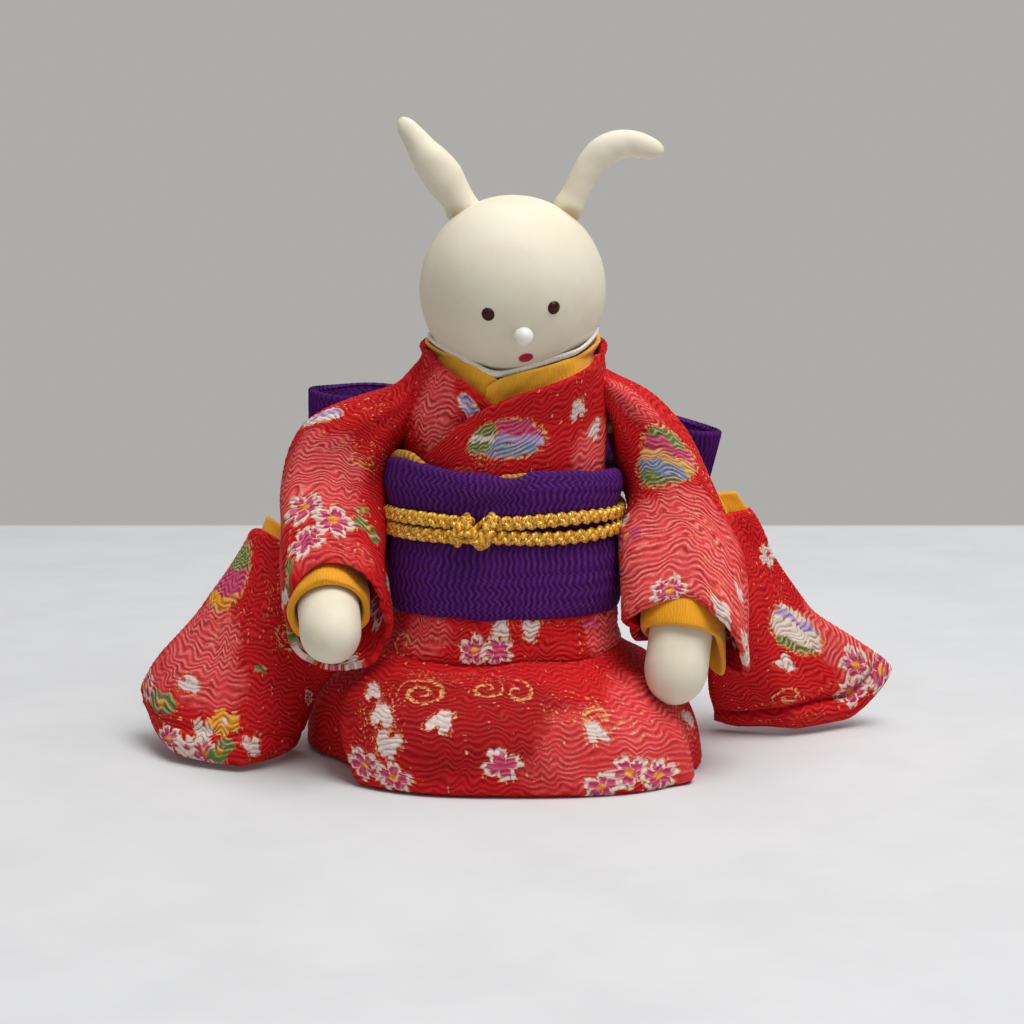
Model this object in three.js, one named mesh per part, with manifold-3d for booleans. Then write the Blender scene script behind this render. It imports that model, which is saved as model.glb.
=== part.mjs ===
// Seated rabbit doll in a crepe kimono with long sleeves, in millimetres, +Z up.
// The front looks along -Y, and left and right are as seen from the front.
import * as THREE from 'three';
import { mergeVertices } from 'three/addons/utils/BufferGeometryUtils.js';
import Module from 'manifold-3d';

const wasm = await Module();
wasm.setup();

const V = (x, y, z) => new THREE.Vector3(x, y, z);
const { degToRad, lerp, clamp } = THREE.MathUtils;

// Gaps and cloth
const GAP = 0.3;
const CLOTH = 1.2;
const LAP = CLOTH + GAP;
const OVAL_POWER = 2.4;
const TURN = 360;

// Base and stuffed body
const BASE_SIDE = 20;
const BASE_DEPTH = 16;
const BASE_HEIGHT = 2;
const CORE_SIDE = 11;
const CORE_DEPTH = 8.3;
const CORE_TOP = 50.2;
const CORE_NECK = 4.5;

// Wrap skirt
const HEM_Z = 0.6;
const HEM_LEFT = 28.2;
const HEM_RIGHT = 26.4;
const HEM_FRONT = 23.6;
const HEM_BACK = 18.5;
const SKIRT_TOP = 20.3;
const SKIRT_FROM = 40;
const SKIRT_TO = -TURN - 55;
const SKIRT_SKEW = 14;
const SKIRT_RECESS = 2.2;
const HEM_LEFT_POWER = 1.9;
const HEM_RIGHT_POWER = 3.4;

// Obi, waist fold and scarf
const OBI_BOTTOM = 21.3;
const OBI_HEIGHT = 19.2;
const OBI_TILT = 1.1;
const OBI_THICK = 1.6;
const OBI_BULGE = 0.5;
const FOLD_DROP = 6;
const FOLD_SWELL = 2;
const SCARF_THICK = 0.9;
const SCARF_RISE = 0.9;

// Gold cord
const CORD_RADIUS = 0.85;
const CORD_Z = 33.2;
const CORD_SPACING = 2.3;
const CORD_SPREAD = 0.8;
const CORD_GROOVE = 1;
const KNOT_TURN = -14;
const KNOT_SIDE = 2.9;
const KNOT_HEIGHT = 5.1;
const KNOT_SHELL = 1;

// Bodice and collars
const BODICE_FROM = 26;
const BODICE_TO = -TURN - 56;
const BUST_Z = 47;
const BUST_SIDE = 14;
const BUST_DEPTH = 10.7;
const YELLOW_THICK = 0.4;
const YELLOW_LAP = 18;
const YELLOW_WIDTH = 3.4;
const WHITE_THICK = 0.4;
const WHITE_WIDTH = 1.5;

// Head
const HEAD_RADIUS = 12.5;
const HEAD_X = 1.4;
const HEAD_Y = -1;
const HEAD_ROLL = 5.4;
const HEAD_YAW = 4.3;
const NECK_HEIGHT = 1.15;
const PEG_RADIUS = 1.6;
const PEG_DEPTH = 9;
const EYE_RADIUS = 0.95;
const EYE_SINK = 0.45;
const EYE_SPREAD = 20.4;
const EYE_DROP = 9.6;
const NOSE_RADIUS = 1.35;
const NOSE_RISE = 0.35;
const NOSE_DROP = 25;
const EAR_FLATNESS = 0.85;

// Arms, cuffs and sleeves
const ROD_RADIUS = 1;
const SHOULDER_X = 20.6;
const SHOULDER_Y = 1;
const SHOULDER_Z = 45;
const ARM_RADIUS = 3.2;
const HAND_RADIUS = 4.4;
const CUFF_THICK = 0.8;
const CUFF_LENGTH = 7.5;
const CUFF_SHOW = 3.2;
const SLEEVE_WALL = 0.9;
const TAIL_THICK = 2.4;
const LINING_THICK = 0.7;

// Bow at the back
const LEFT_LOOP_REACH = 12.1;
const RIGHT_LOOP_REACH = 12.9;
const BOW_DEPTH = 3;
const BOW_HEIGHT = 12;
const BOW_CLOTH = 1;
const BOW_BAND = 3.4;
const BOW_TOP = 48.8;
const RIGHT_LOOP_DROOP = 14;

// Heights and layers that follow from the driving dimensions
const OBI_TOP = OBI_BOTTOM + OBI_HEIGHT;
const BODICE_MID = GAP + LAP + CLOTH / 2;
const OBI_INNER = GAP + LAP + CLOTH + GAP;
const OBI_OUTER = OBI_INNER + OBI_THICK;
const CORD_MID = OBI_OUTER - CORD_GROOVE + GAP + CORD_RADIUS;
const HEAD_Z = CORE_TOP + NECK_HEIGHT + HEAD_RADIUS;
const NECK_RADIUS = HEAD_RADIUS + 2 * GAP + WHITE_THICK + YELLOW_THICK;
const HEAD_CENTRE = V(HEAD_X, HEAD_Y, HEAD_Z);
const HEAD_UP = V(-Math.sin(degToRad(HEAD_ROLL)), 0, Math.cos(degToRad(HEAD_ROLL)));

// Materials
const finish = (color, roughness, metalness = 0) =>
  new THREE.MeshStandardMaterial({ color, roughness, metalness });
const RED_CREPE = finish(0xb5231f, 0.85);
const PURPLE_CREPE = finish(0x441653, 0.8);
const YELLOW_CLOTH = finish(0xe1a21d, 0.7);
const WHITE_CLOTH = finish(0xe6ddcf, 0.8);
const GOLD_BRAID = finish(0xbe9132, 0.45, 0.3);
const IVORY = finish(0xe2dfd0, 0.6);
const DARK_BEAD = finish(0x39140c, 0.25);
const WOOD = finish(0xc9a877, 0.7);
const WADDING = finish(0xe8e2d4, 0.95);

// Piecewise-linear height over a list of [position, value] pairs
function graph(points) {
  return (x) => {
    const past = points.filter((p) => p[0] < x).length;
    const i = clamp(past, 1, points.length - 1);
    const [x0, y0] = points[i - 1];
    const [x1, y1] = points[i];
    return lerp(y0, y1, clamp((x - x0) / (x1 - x0), 0, 1));
  };
}

// Evenly spaced values from one end to the other
function spread(from, to, count) {
  return Array.from({ length: count + 1 }, (_, i) => lerp(from, to, i / count));
}

// Oval with its front and back depths set apart; turn 0 is the front
function oval(turn, left, right, front, back, power = OVAL_POWER) {
  const angle = degToRad(turn);
  const side = Math.sin(angle) < 0 ? left : right;
  const depth = Math.cos(angle) > 0 ? front : back;
  const across = Math.abs(Math.sin(angle)) / side;
  const along = Math.abs(Math.cos(angle)) / depth;
  const reach = (across ** power + along ** power) ** (-1 / power);
  return V(reach * Math.sin(angle), -reach * Math.cos(angle), 0);
}

function signedVolume(points, triangles) {
  let volume = 0;
  for (let i = 0; i < triangles.length; i += 3) {
    const [a, b, c] = [0, 1, 2].map((k) => points[triangles[i + k]]);
    volume += a.dot(b.clone().cross(c));
  }
  return volume;
}

// Closed solid through loops of points. A strip's loop runs along one face and back along the other.
function loft(loops, { ring = false, strip = false } = {}) {
  const count = loops[0].length;
  const points = loops.flat();
  const triangles = [];
  const quad = (a, b, c, d) => triangles.push(a, b, c, a, c, d);
  for (let i = 0; i < loops.length - (ring ? 0 : 1); i++) {
    const here = i * count;
    const next = ((i + 1) % loops.length) * count;
    for (let j = 0; j < count; j++) {
      const k = (j + 1) % count;
      quad(here + j, here + k, next + k, next + j);
    }
  }
  const cap = (start, flip) => {
    if (strip) {
      for (let j = 0; j < count / 2 - 1; j++) {
        const face = [start + j, start + count - 1 - j, start + count - 2 - j, start + j + 1];
        quad(...(flip ? face.reverse() : face));
      }
      return;
    }
    const centre = points.length;
    const loop = points.slice(start, start + count);
    points.push(loop.reduce((sum, p) => sum.add(p), V(0, 0, 0)).divideScalar(count));
    for (let j = 0; j < count; j++) {
      const edge = [start + j, start + ((j + 1) % count)];
      triangles.push(centre, ...(flip ? edge : edge.reverse()));
    }
  };
  if (!ring) {
    cap(0, false);
    cap((loops.length - 1) * count, true);
  }
  if (signedVolume(points, triangles) < 0) triangles.reverse();
  const geometry = new THREE.BufferGeometry().setFromPoints(points);
  geometry.setIndex(triangles);
  geometry.computeVertexNormals();
  return geometry;
}

function toManifold(geometry) {
  const bare = geometry.clone();
  bare.deleteAttribute('normal');
  bare.deleteAttribute('uv');
  const merged = mergeVertices(bare, 1e-5);
  return new wasm.Manifold(new wasm.Mesh({
    numProp: 3,
    vertProperties: new Float32Array(merged.attributes.position.array),
    triVerts: new Uint32Array(merged.index.array),
  }));
}

function toGeometry(manifold) {
  const mesh = manifold.getMesh();
  const geometry = new THREE.BufferGeometry();
  geometry.setAttribute('position', new THREE.BufferAttribute(mesh.vertProperties, 3));
  geometry.setIndex(new THREE.BufferAttribute(mesh.triVerts, 1));
  geometry.computeVertexNormals();
  return geometry;
}

function cut(geometry, ...tools) {
  return toGeometry(tools.reduce((rest, tool) => rest.subtract(toManifold(tool)), toManifold(geometry)));
}

function join(first, second) {
  return toGeometry(toManifold(first).add(toManifold(second)));
}

const doll = new THREE.Group();

function add(name, geometry, material) {
  const mesh = new THREE.Mesh(geometry, material);
  mesh.name = name;
  doll.add(mesh);
}

// Round bar between two points
function bar(from, to, radius, sides = 20) {
  const length = from.distanceTo(to);
  const geometry = new THREE.CylinderGeometry(radius, radius, length, sides);
  const axis = to.clone().sub(from).normalize();
  geometry.applyQuaternion(new THREE.Quaternion().setFromUnitVectors(V(0, 1, 0), axis));
  const middle = from.clone().lerp(to, 0.5);
  return geometry.translate(middle.x, middle.y, middle.z);
}

function ball(centre, radius, across = 12, down = 8) {
  return new THREE.SphereGeometry(radius, across, down).translate(centre.x, centre.y, centre.z);
}

// Skirt surface: it domes out from under the waist fold and stands nearly straight at the hem
const SKIRT_DOME = [[0, 1], [0.25, 0.95], [0.43, 0.82], [0.6, 0.5], [0.7, 0.24], [0.76, 0.12], [1, 0]];
const skirtDome = graph(SKIRT_DOME);

function skirtPoint(turn, z, inward) {
  const flare = skirtDome((z - HEM_Z) / (SKIRT_TOP - HEM_Z));
  const top = BODICE_MID;
  const size = (waist, hem) => lerp(waist + top, hem, flare) - inward;
  const left = size(CORE_SIDE, HEM_LEFT);
  const right = size(CORE_SIDE, HEM_RIGHT);
  const [front, back] = [size(CORE_DEPTH, HEM_FRONT), size(CORE_DEPTH, HEM_BACK)];
  const corner = lerp(HEM_LEFT_POWER, HEM_RIGHT_POWER, 0.5 + 0.5 * Math.sin(degToRad(turn)));
  return oval(turn, left, right, front, back, lerp(OVAL_POWER, corner, flare)).setZ(z);
}

// Cloth that laps over itself: it starts under its own far end and spirals out by one lap
function wrap(from, to, step, rows, heights, surface) {
  const steps = Math.round((from - to) / step);
  const loops = [];
  for (let i = 0; i <= steps; i++) {
    const turn = lerp(from, to, i / steps);
    const [low, high] = heights(turn);
    const levels = rows.map((row) => lerp(low, high, row));
    loops.push([
      ...levels.map((z) => surface(turn, z, 0)),
      ...levels.reverse().map((z) => surface(turn, z, 1)),
    ]);
  }
  return loft(loops, { strip: true });
}

function addBase() {
  const disc = new THREE.CylinderGeometry(1, 1, BASE_HEIGHT, 48).rotateX(Math.PI / 2);
  add('base_disc', disc.scale(BASE_SIDE, BASE_DEPTH, 1).translate(0, 0, BASE_HEIGHT / 2), WOOD);
}

const pegAxis = (along) => HEAD_CENTRE.clone().addScaledVector(HEAD_UP, along);
const PEG_FOOT = SHOULDER_Z + ROD_RADIUS + 4 * GAP;
const PEG_LOW = pegAxis((PEG_FOOT - HEAD_Z) / HEAD_UP.z);
const PEG_HIGH = pegAxis(-HEAD_RADIUS + PEG_DEPTH);
const rodEnd = (side) => V(side * (SHOULDER_X + ARM_RADIUS / 2), SHOULDER_Y, SHOULDER_Z);

function addCore() {
  const lean = CLOTH / 2 + LAP + SKIRT_RECESS + GAP;
  const loops = [];
  const around = Array.from({ length: 28 }, (_, i) => (i * TURN) / 28);
  for (const z of [BASE_HEIGHT + GAP, 5, 9, 12.5, 16]) {
    loops.push(around.map((turn) => skirtPoint(turn, z, lean)));
  }
  const upper = [[OBI_BOTTOM, 1], [OBI_TOP, 1], [SHOULDER_Z + 1.5, 0.6], [CORE_TOP, 0]];
  for (const [z, full] of upper) {
    const side = lerp(CORE_NECK, CORE_SIDE, full);
    const depth = lerp(CORE_NECK, CORE_DEPTH, full);
    loops.push(around.map((turn) => oval(turn, side, side, depth, depth).setZ(z)));
  }
  const pegHole = bar(PEG_LOW.clone().addScaledVector(HEAD_UP, -GAP), PEG_HIGH, PEG_RADIUS + GAP);
  const rodHole = bar(rodEnd(-1), rodEnd(1), ROD_RADIUS + GAP, 16);
  add('body_core', cut(loft(loops), pegHole, rodHole), WADDING);
  add('neck_peg', bar(PEG_LOW, PEG_HIGH, PEG_RADIUS), WOOD);
  add('shoulder_rod', bar(rodEnd(-1), rodEnd(1), ROD_RADIUS, 16), WOOD);
}

function addSkirt() {
  const under = graph([[-115, 0], [-70, LAP], [SKIRT_FROM, LAP]]);
  const hollow = graph([[-95, 0], [-70, 1], [-60, 1], [-30, 0]]);
  const surface = (turn, z, face) => {
    const droop = clamp(1 - z / SKIRT_TOP, 0, 1);
    const fold = SKIRT_RECESS * droop * (turn > -180 ? hollow(turn) : 0);
    const skew = SKIRT_SKEW * (1 - droop) * clamp((-TURN - turn) / (-TURN - SKIRT_TO), 0, 1);
    return skirtPoint(turn - skew, z, under(turn) + fold + (face - 0.5) * CLOTH);
  };
  const rows = SKIRT_DOME.map(([row]) => row);
  add('kimono_skirt', wrap(SKIRT_FROM, SKIRT_TO, 10, rows, () => [HEM_Z, SKIRT_TOP], surface), RED_CREPE);
}

// Ring of cloth round the body, from a section of [outward, height] pairs set by the turn
function belt(section, steps) {
  const loops = [];
  for (let i = 0; i < steps; i++) {
    const turn = (i * TURN) / steps;
    loops.push(section(turn).map(([out, z]) => {
      const side = CORE_SIDE + out;
      const depth = CORE_DEPTH + out;
      return oval(turn, side, side, depth, depth).setZ(z);
    }));
  }
  return loft(loops, { ring: true });
}

const obiTop = (turn) => OBI_TOP - OBI_TILT * Math.sin(degToRad(turn));

function addWaist() {
  const foldTop = OBI_BOTTOM - GAP;
  const inner = BODICE_MID + CLOTH / 2 + GAP;
  const low = foldTop - FOLD_DROP;
  const outer = inner + LAP + FOLD_SWELL;
  add('waist_fold', belt(() => [
    [inner + 0.2, foldTop], [outer - 1.2, foldTop], [outer, foldTop - 1.8], [outer, low + 1.2],
    [outer - 0.6, low], [inner + LAP + 0.6, low + 0.3], [inner + 0.7, foldTop - FOLD_DROP / 2],
  ], 40), RED_CREPE);

  const groove = CORD_SPACING / 2 + CORD_SPREAD + CORD_RADIUS + GAP;
  add('obi_band', belt((turn) => {
    const top = obiTop(turn);
    return [
      [OBI_INNER, OBI_BOTTOM], [OBI_OUTER - 0.3, OBI_BOTTOM], [OBI_OUTER, OBI_BOTTOM + 0.6],
      [OBI_OUTER, CORD_Z - groove - 1], [OBI_OUTER - CORD_GROOVE, CORD_Z - groove],
      [OBI_OUTER - CORD_GROOVE, CORD_Z + groove], [OBI_OUTER + OBI_BULGE / 2, CORD_Z + groove + 1],
      [OBI_OUTER, top - 0.5], [OBI_OUTER - 0.4, top], [OBI_INNER, top],
    ];
  }, 40), PURPLE_CREPE);

  const rise = graph([[0, 0.6], [10, 0.2], [180, 0.2], [290, 0.4], [320, 1], [345, 0.3], [TURN, 0.6]]);
  add('obi_scarf', belt((turn) => {
    const low = obiTop(turn) + GAP;
    const high = low + SCARF_RISE * rise(turn);
    return [[OBI_INNER, low], [OBI_INNER + SCARF_THICK, low],
      [OBI_INNER + SCARF_THICK, high], [OBI_INNER, high]];
  }, 40), GOLD_BRAID);
}

// Bodice surface: straight inside the obi, then drawn in round the ball of the head
const neckReach = (z) => Math.sqrt(Math.max(NECK_RADIUS ** 2 - (HEAD_Z - z) ** 2, 0));

function bodicePoint(turn, z, inward) {
  const rise = clamp((z - BUST_Z) / (HEAD_Z - HEAD_RADIUS * 0.7 - BUST_Z), 0, 1);
  const bust = clamp((z - OBI_TOP) / (BUST_Z - OBI_TOP), 0, 1);
  const neck = neckReach(Math.max(z, HEAD_Z - HEAD_RADIUS * 0.7)) + CLOTH / 2 + GAP;
  const side = lerp(lerp(CORE_SIDE + BODICE_MID, BUST_SIDE, bust), neck, rise) - inward;
  const depth = lerp(lerp(CORE_DEPTH + BODICE_MID, BUST_DEPTH, bust), neck, rise) - inward;
  return oval(turn, side, side, depth, depth).add(V(HEAD_X * rise, HEAD_Y * rise, z));
}

// Heights of the crossed neckline above the front of the chest, by turn
const NECKLINE = [
  [BODICE_TO, -9], [-TURN - 42, -6], [-TURN - 30, -3.7], [-TURN, 0], [-TURN + 30, 2.2], [-280, 5.6],
  [-180, 7.4], [-80, 5.4], [-32, 2.1], [-18, 0.1], [0, -2], [BODICE_FROM, -5],
];
const CHEST_Z = 50;
const neckline = graph(NECKLINE);

// Depth of the lap below the over-panel, by turn from the front
const frontTurn = (turn) => THREE.MathUtils.euclideanModulo(turn + 180, TURN) - 180;
const frontLap = graph([[-100, 0], [-45, 1], [BODICE_FROM, 1], [BODICE_FROM + 25, 0]]);
const underLap = (turn) => (turn > -180 ? frontLap(turn) : 0);

function addBodice() {
  const surface = (turn, z, face) => bodicePoint(turn, z, LAP * underLap(turn) + (face - 0.5) * CLOTH);
  const heights = (turn) => [OBI_BOTTOM + 2, CHEST_Z + neckline(turn)];
  const rodHole = bar(rodEnd(-1), rodEnd(1), ROD_RADIUS + GAP, 16);
  const shell = wrap(BODICE_FROM, BODICE_TO, 10, spread(0, 1, 4), heights, surface);
  add('kimono_bodice', cut(shell, rodHole), RED_CREPE);
}

function addCollars() {
  const headRoom = ball(HEAD_CENTRE, HEAD_RADIUS + GAP, 32, 22);
  const yellowLap = YELLOW_THICK + GAP;
  const yellowIn = CLOTH / 2 + GAP + YELLOW_THICK / 2;
  const yellowRise = graph([[-TURN - YELLOW_LAP, 2.4], [-TURN, 2.2], [-290, 1.4], [-180, 1],
    [-80, 1.2], [-30, 1.6], [0, 2.4], [YELLOW_LAP, 2.2]]);
  const yellowHeights = (turn) => {
    const high = CHEST_Z + neckline(turn) + yellowRise(turn);
    return [high - YELLOW_WIDTH, high];
  };
  const yellow = (turn, z, face) => bodicePoint(turn, z, LAP * frontLap(frontTurn(turn)) + yellowIn
    + yellowLap * underLap(turn) + (face - 0.5) * YELLOW_THICK);
  const band = wrap(YELLOW_LAP, -TURN - YELLOW_LAP, 9, spread(0, 1, 3), yellowHeights, yellow);
  add('yellow_collar', cut(band, headRoom), YELLOW_CLOTH);

  const whiteIn = yellowIn + YELLOW_THICK / 2 + GAP + WHITE_THICK / 2;
  const whiteTop = graph([[-180, 8.6], [-85, 6.6], [-12, 2.8], [85, 7.4], [180, 8.6]]);
  const loops = [];
  for (let turn = -180; turn < 180; turn += 9) {
    const high = CHEST_Z + whiteTop(turn);
    const inward = whiteIn + (LAP + yellowLap) * frontLap(turn);
    const at = (z, face) => bodicePoint(turn, z, inward + (face - 0.5) * WHITE_THICK);
    const low = high - WHITE_WIDTH;
    loops.push([at(low, 0), at(high, 0), at(high, 1), at(low, 1)]);
  }
  add('white_collar', cut(loft(loops, { ring: true }), headRoom), WHITE_CLOTH);
}

// Tube swept along points, with its sections upright beside the path
function sweep(points, radius, sides) {
  const loops = points.map((point, i) => {
    const ahead = points[Math.min(i + 1, points.length - 1)];
    const behind = points[Math.max(i - 1, 0)];
    const along = ahead.clone().sub(behind).normalize();
    const out = along.clone().cross(V(0, 0, 1)).normalize();
    const up = out.clone().cross(along);
    return Array.from({ length: sides }, (_, k) => {
      const angle = (k * 2 * Math.PI) / sides;
      return point.clone().addScaledVector(out, radius * Math.cos(angle))
        .addScaledVector(up, radius * Math.sin(angle));
    });
  });
  return loft(loops);
}

// One unbroken cord in two turns: the lower turn climbs to the upper one inside the knot
function cordPath() {
  const tuck = 13;
  const steps = 76;
  const opening = graph([[0, 1], [60, 1], [85, 0], [275, 0], [300, 1], [TURN, 1]]);
  const climb = graph([[TURN - tuck, -0.5], [TURN + tuck, 0.5]]);
  return Array.from({ length: steps + 1 }, (_, i) => {
    const run = lerp(tuck, 2 * TURN - tuck, i / steps);
    const apart = CORD_SPACING + CORD_SPREAD * opening(run % TURN);
    const point = oval(KNOT_TURN + run, CORE_SIDE + CORD_MID, CORE_SIDE + CORD_MID,
      CORE_DEPTH + CORD_MID, CORE_DEPTH + CORD_MID);
    return point.setZ(CORD_Z + apart * climb(run));
  });
}

function leastSelfGap(path, radius) {
  let least = Infinity;
  const skip = 10;
  for (let i = 0; i < path.length; i++) {
    for (let j = i + skip; j < path.length; j++) {
      least = Math.min(least, path[i].distanceTo(path[j]) - 2 * radius);
    }
  }
  return least;
}

function addCord() {
  const path = cordPath();
  const cord = sweep(path, CORD_RADIUS, 6);
  console.log(`gold cord: least gap to itself ${leastSelfGap(path, CORD_RADIUS).toFixed(2)} mm`);
  add('gold_cord', cord, GOLD_BRAID);

  const depth = CORD_RADIUS + GAP + KNOT_SHELL;
  const loops = [];
  for (let i = 0; i <= 6; i++) {
    const across = lerp(-1, 1, i / 6);
    const swell = 1 - 0.2 * across ** 2;
    loops.push(Array.from({ length: 12 }, (_, k) => {
      const angle = lerp(0, Math.PI, k / 11);
      const out = depth * swell * Math.sin(angle) ** 0.8;
      const up = (KNOT_HEIGHT / 2) * swell * Math.cos(angle);
      return V(across * KNOT_SIDE, -out, up);
    }));
  }
  const seat = oval(KNOT_TURN, CORE_SIDE + CORD_MID, CORE_SIDE + CORD_MID,
    CORE_DEPTH + CORD_MID, CORE_DEPTH + CORD_MID);
  const knot = loft(loops).rotateZ(degToRad(KNOT_TURN / 2)).translate(seat.x, seat.y, CORD_Z);
  add('gold_cord_knot', cut(knot, sweep(path, CORD_RADIUS + GAP, 8)), GOLD_BRAID);
}

const BOW_Y = CORE_DEPTH + CORD_MID + CORD_RADIUS + GAP + BOW_DEPTH;

function bowLoop(side, length, droop) {
  const loops = [];
  for (let turn = 0; turn < TURN; turn += 10) {
    const outer = oval(turn, length, length, BOW_DEPTH, BOW_DEPTH);
    const [reach, depth] = [length - BOW_CLOTH, BOW_DEPTH - BOW_CLOTH];
    const inner = oval(turn, reach, reach, depth, depth);
    loops.push([outer.clone().setZ(-BOW_HEIGHT), outer.clone(), inner.clone(),
      inner.clone().setZ(-BOW_HEIGHT)]);
  }
  const loop = loft(loops, { ring: true }).translate(side * (length + GAP), 0, 0);
  const room = side * BOW_BAND + BOW_HEIGHT * Math.sin(degToRad(droop));
  return loop.rotateY(degToRad(droop)).translate(room, BOW_Y, BOW_TOP);
}

function addBow() {
  add('bow_loop_left', bowLoop(-1, LEFT_LOOP_REACH, 0), PURPLE_CREPE);
  add('bow_loop_right', bowLoop(1, RIGHT_LOOP_REACH, RIGHT_LOOP_DROOP), PURPLE_CREPE);
  const loops = [[OBI_TOP - BOW_HEIGHT, 0.8], [OBI_TOP - BOW_HEIGHT / 2, 1], [OBI_TOP, 0.85],
    [BOW_TOP - 2, 1], [BOW_TOP, 0.8]].map(([z, full]) =>
    Array.from({ length: 20 }, (_, i) => {
      const depth = (BOW_DEPTH + BOW_CLOTH / 2) * full;
      const point = oval(i * 18, BOW_BAND * full, BOW_BAND * full, depth, depth);
      return point.add(V(0, BOW_Y + BOW_CLOTH / 2, z));
    }));
  add('bow_center_band', loft(loops), PURPLE_CREPE);
}

// Arm lines from the shoulder rod to the fingertips, as steps from the shoulder
const shoulder = (side) => V(side * SHOULDER_X, SHOULDER_Y, SHOULDER_Z);
const LEFT_ARM = [V(0, 0, 0), V(-2, -1.2, -5), V(-3.4, -4.5, -12), V(-2.8, -9.8, -20),
  V(-1.2, -22.4, -26.4)];
const RIGHT_ARM = [V(0, 0, 0), V(2, -1, -6), V(4.2, -4, -14), V(3.8, -9, -22), V(1.8, -16, -34.8)];

function armCurve(side, steps) {
  return new THREE.CatmullRomCurve3(steps.map((step) => shoulder(side).add(step)));
}

// Section of an arm or sleeve; the line runs on straight past both ends
function limbRing(curve, t, halfSide, halfDepth, sides = 16) {
  const inside = clamp(t, 0, 1);
  const along = curve.getTangentAt(inside);
  const centre = curve.getPointAt(inside).addScaledVector(along, (t - inside) * curve.getLength());
  const across = V(1, 0, 0).addScaledVector(along, -along.x).normalize();
  const deep = along.clone().cross(across);
  return Array.from({ length: sides }, (_, k) => {
    const angle = (k * 2 * Math.PI) / sides;
    return centre.clone().addScaledVector(across, halfSide * Math.cos(angle))
      .addScaledVector(deep, halfDepth * Math.sin(angle));
  });
}

function limb(curve, stations, side, depth = side) {
  return loft(stations.map((t) => limbRing(curve, t, side(t), depth(t))));
}

const MOUTH = 0.68;
const armSize = graph([[0, ARM_RADIUS], [0.4, ARM_RADIUS], [0.72, HAND_RADIUS], [1, HAND_RADIUS]]);

function armRadius(t) {
  const tip = clamp((t - 0.87) / 0.13, 0, 0.995);
  const top = clamp(-t / 0.06, 0, 0.95);
  return armSize(t) * Math.sqrt(1 - tip ** 2) * Math.sqrt(1 - top ** 2);
}

// Pouch of a long sleeve between its outer, crease and inner lines
function tailPoint(tail, u, v) {
  const [outer, crease, inner] = tail.top.map((point, i) => point.clone().lerp(tail.foot[i], v));
  outer.x += tail.bulge * Math.sin(Math.PI * clamp(v, 0, 1));
  return outer.multiplyScalar((1 - u) * (1 - 2 * u))
    .addScaledVector(crease, 4 * u * (1 - u)).addScaledVector(inner, u * (2 * u - 1));
}

function tailSlab(tail, [u0, u1], [v0, v1], thick, columns, rows) {
  const step = 0.01;
  const face = (u, v, shift) => {
    const alongU = tailPoint(tail, u + step, v).sub(tailPoint(tail, u - step, v));
    const alongV = tailPoint(tail, u, v + step).sub(tailPoint(tail, u, v - step));
    return tailPoint(tail, u, v).addScaledVector(alongU.cross(alongV).normalize(), shift);
  };
  const us = spread(u0, u1, columns);
  return loft(spread(v0, v1, rows).map((v) => [
    ...us.map((u) => face(u, v, thick / 2)),
    ...us.toReversed().map((u) => face(u, v, -thick / 2)),
  ]), { strip: true });
}

const LEFT_TAIL = {
  top: [V(-12.6, 6, -14.6), V(-10.5, 0, -20), V(-2, -10.5, -26)].map((step) => shoulder(-1).add(step)),
  foot: [V(-51.3, 4, 2.2), V(-39.3, -11.3, 0.9), V(-30.6, 2, 0.9)],
  bulge: -1.3,
};
const RIGHT_TAIL = {
  top: [V(13.6, 7.5, -12.4), V(10.5, 2.5, -19), V(7, -5, -25)].map((step) => shoulder(1).add(step)),
  foot: [V(56.4, 9, 3.5), V(41, 6.2, 1), V(30.5, 10, 1.2)],
  bulge: 0.8,
};

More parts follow.
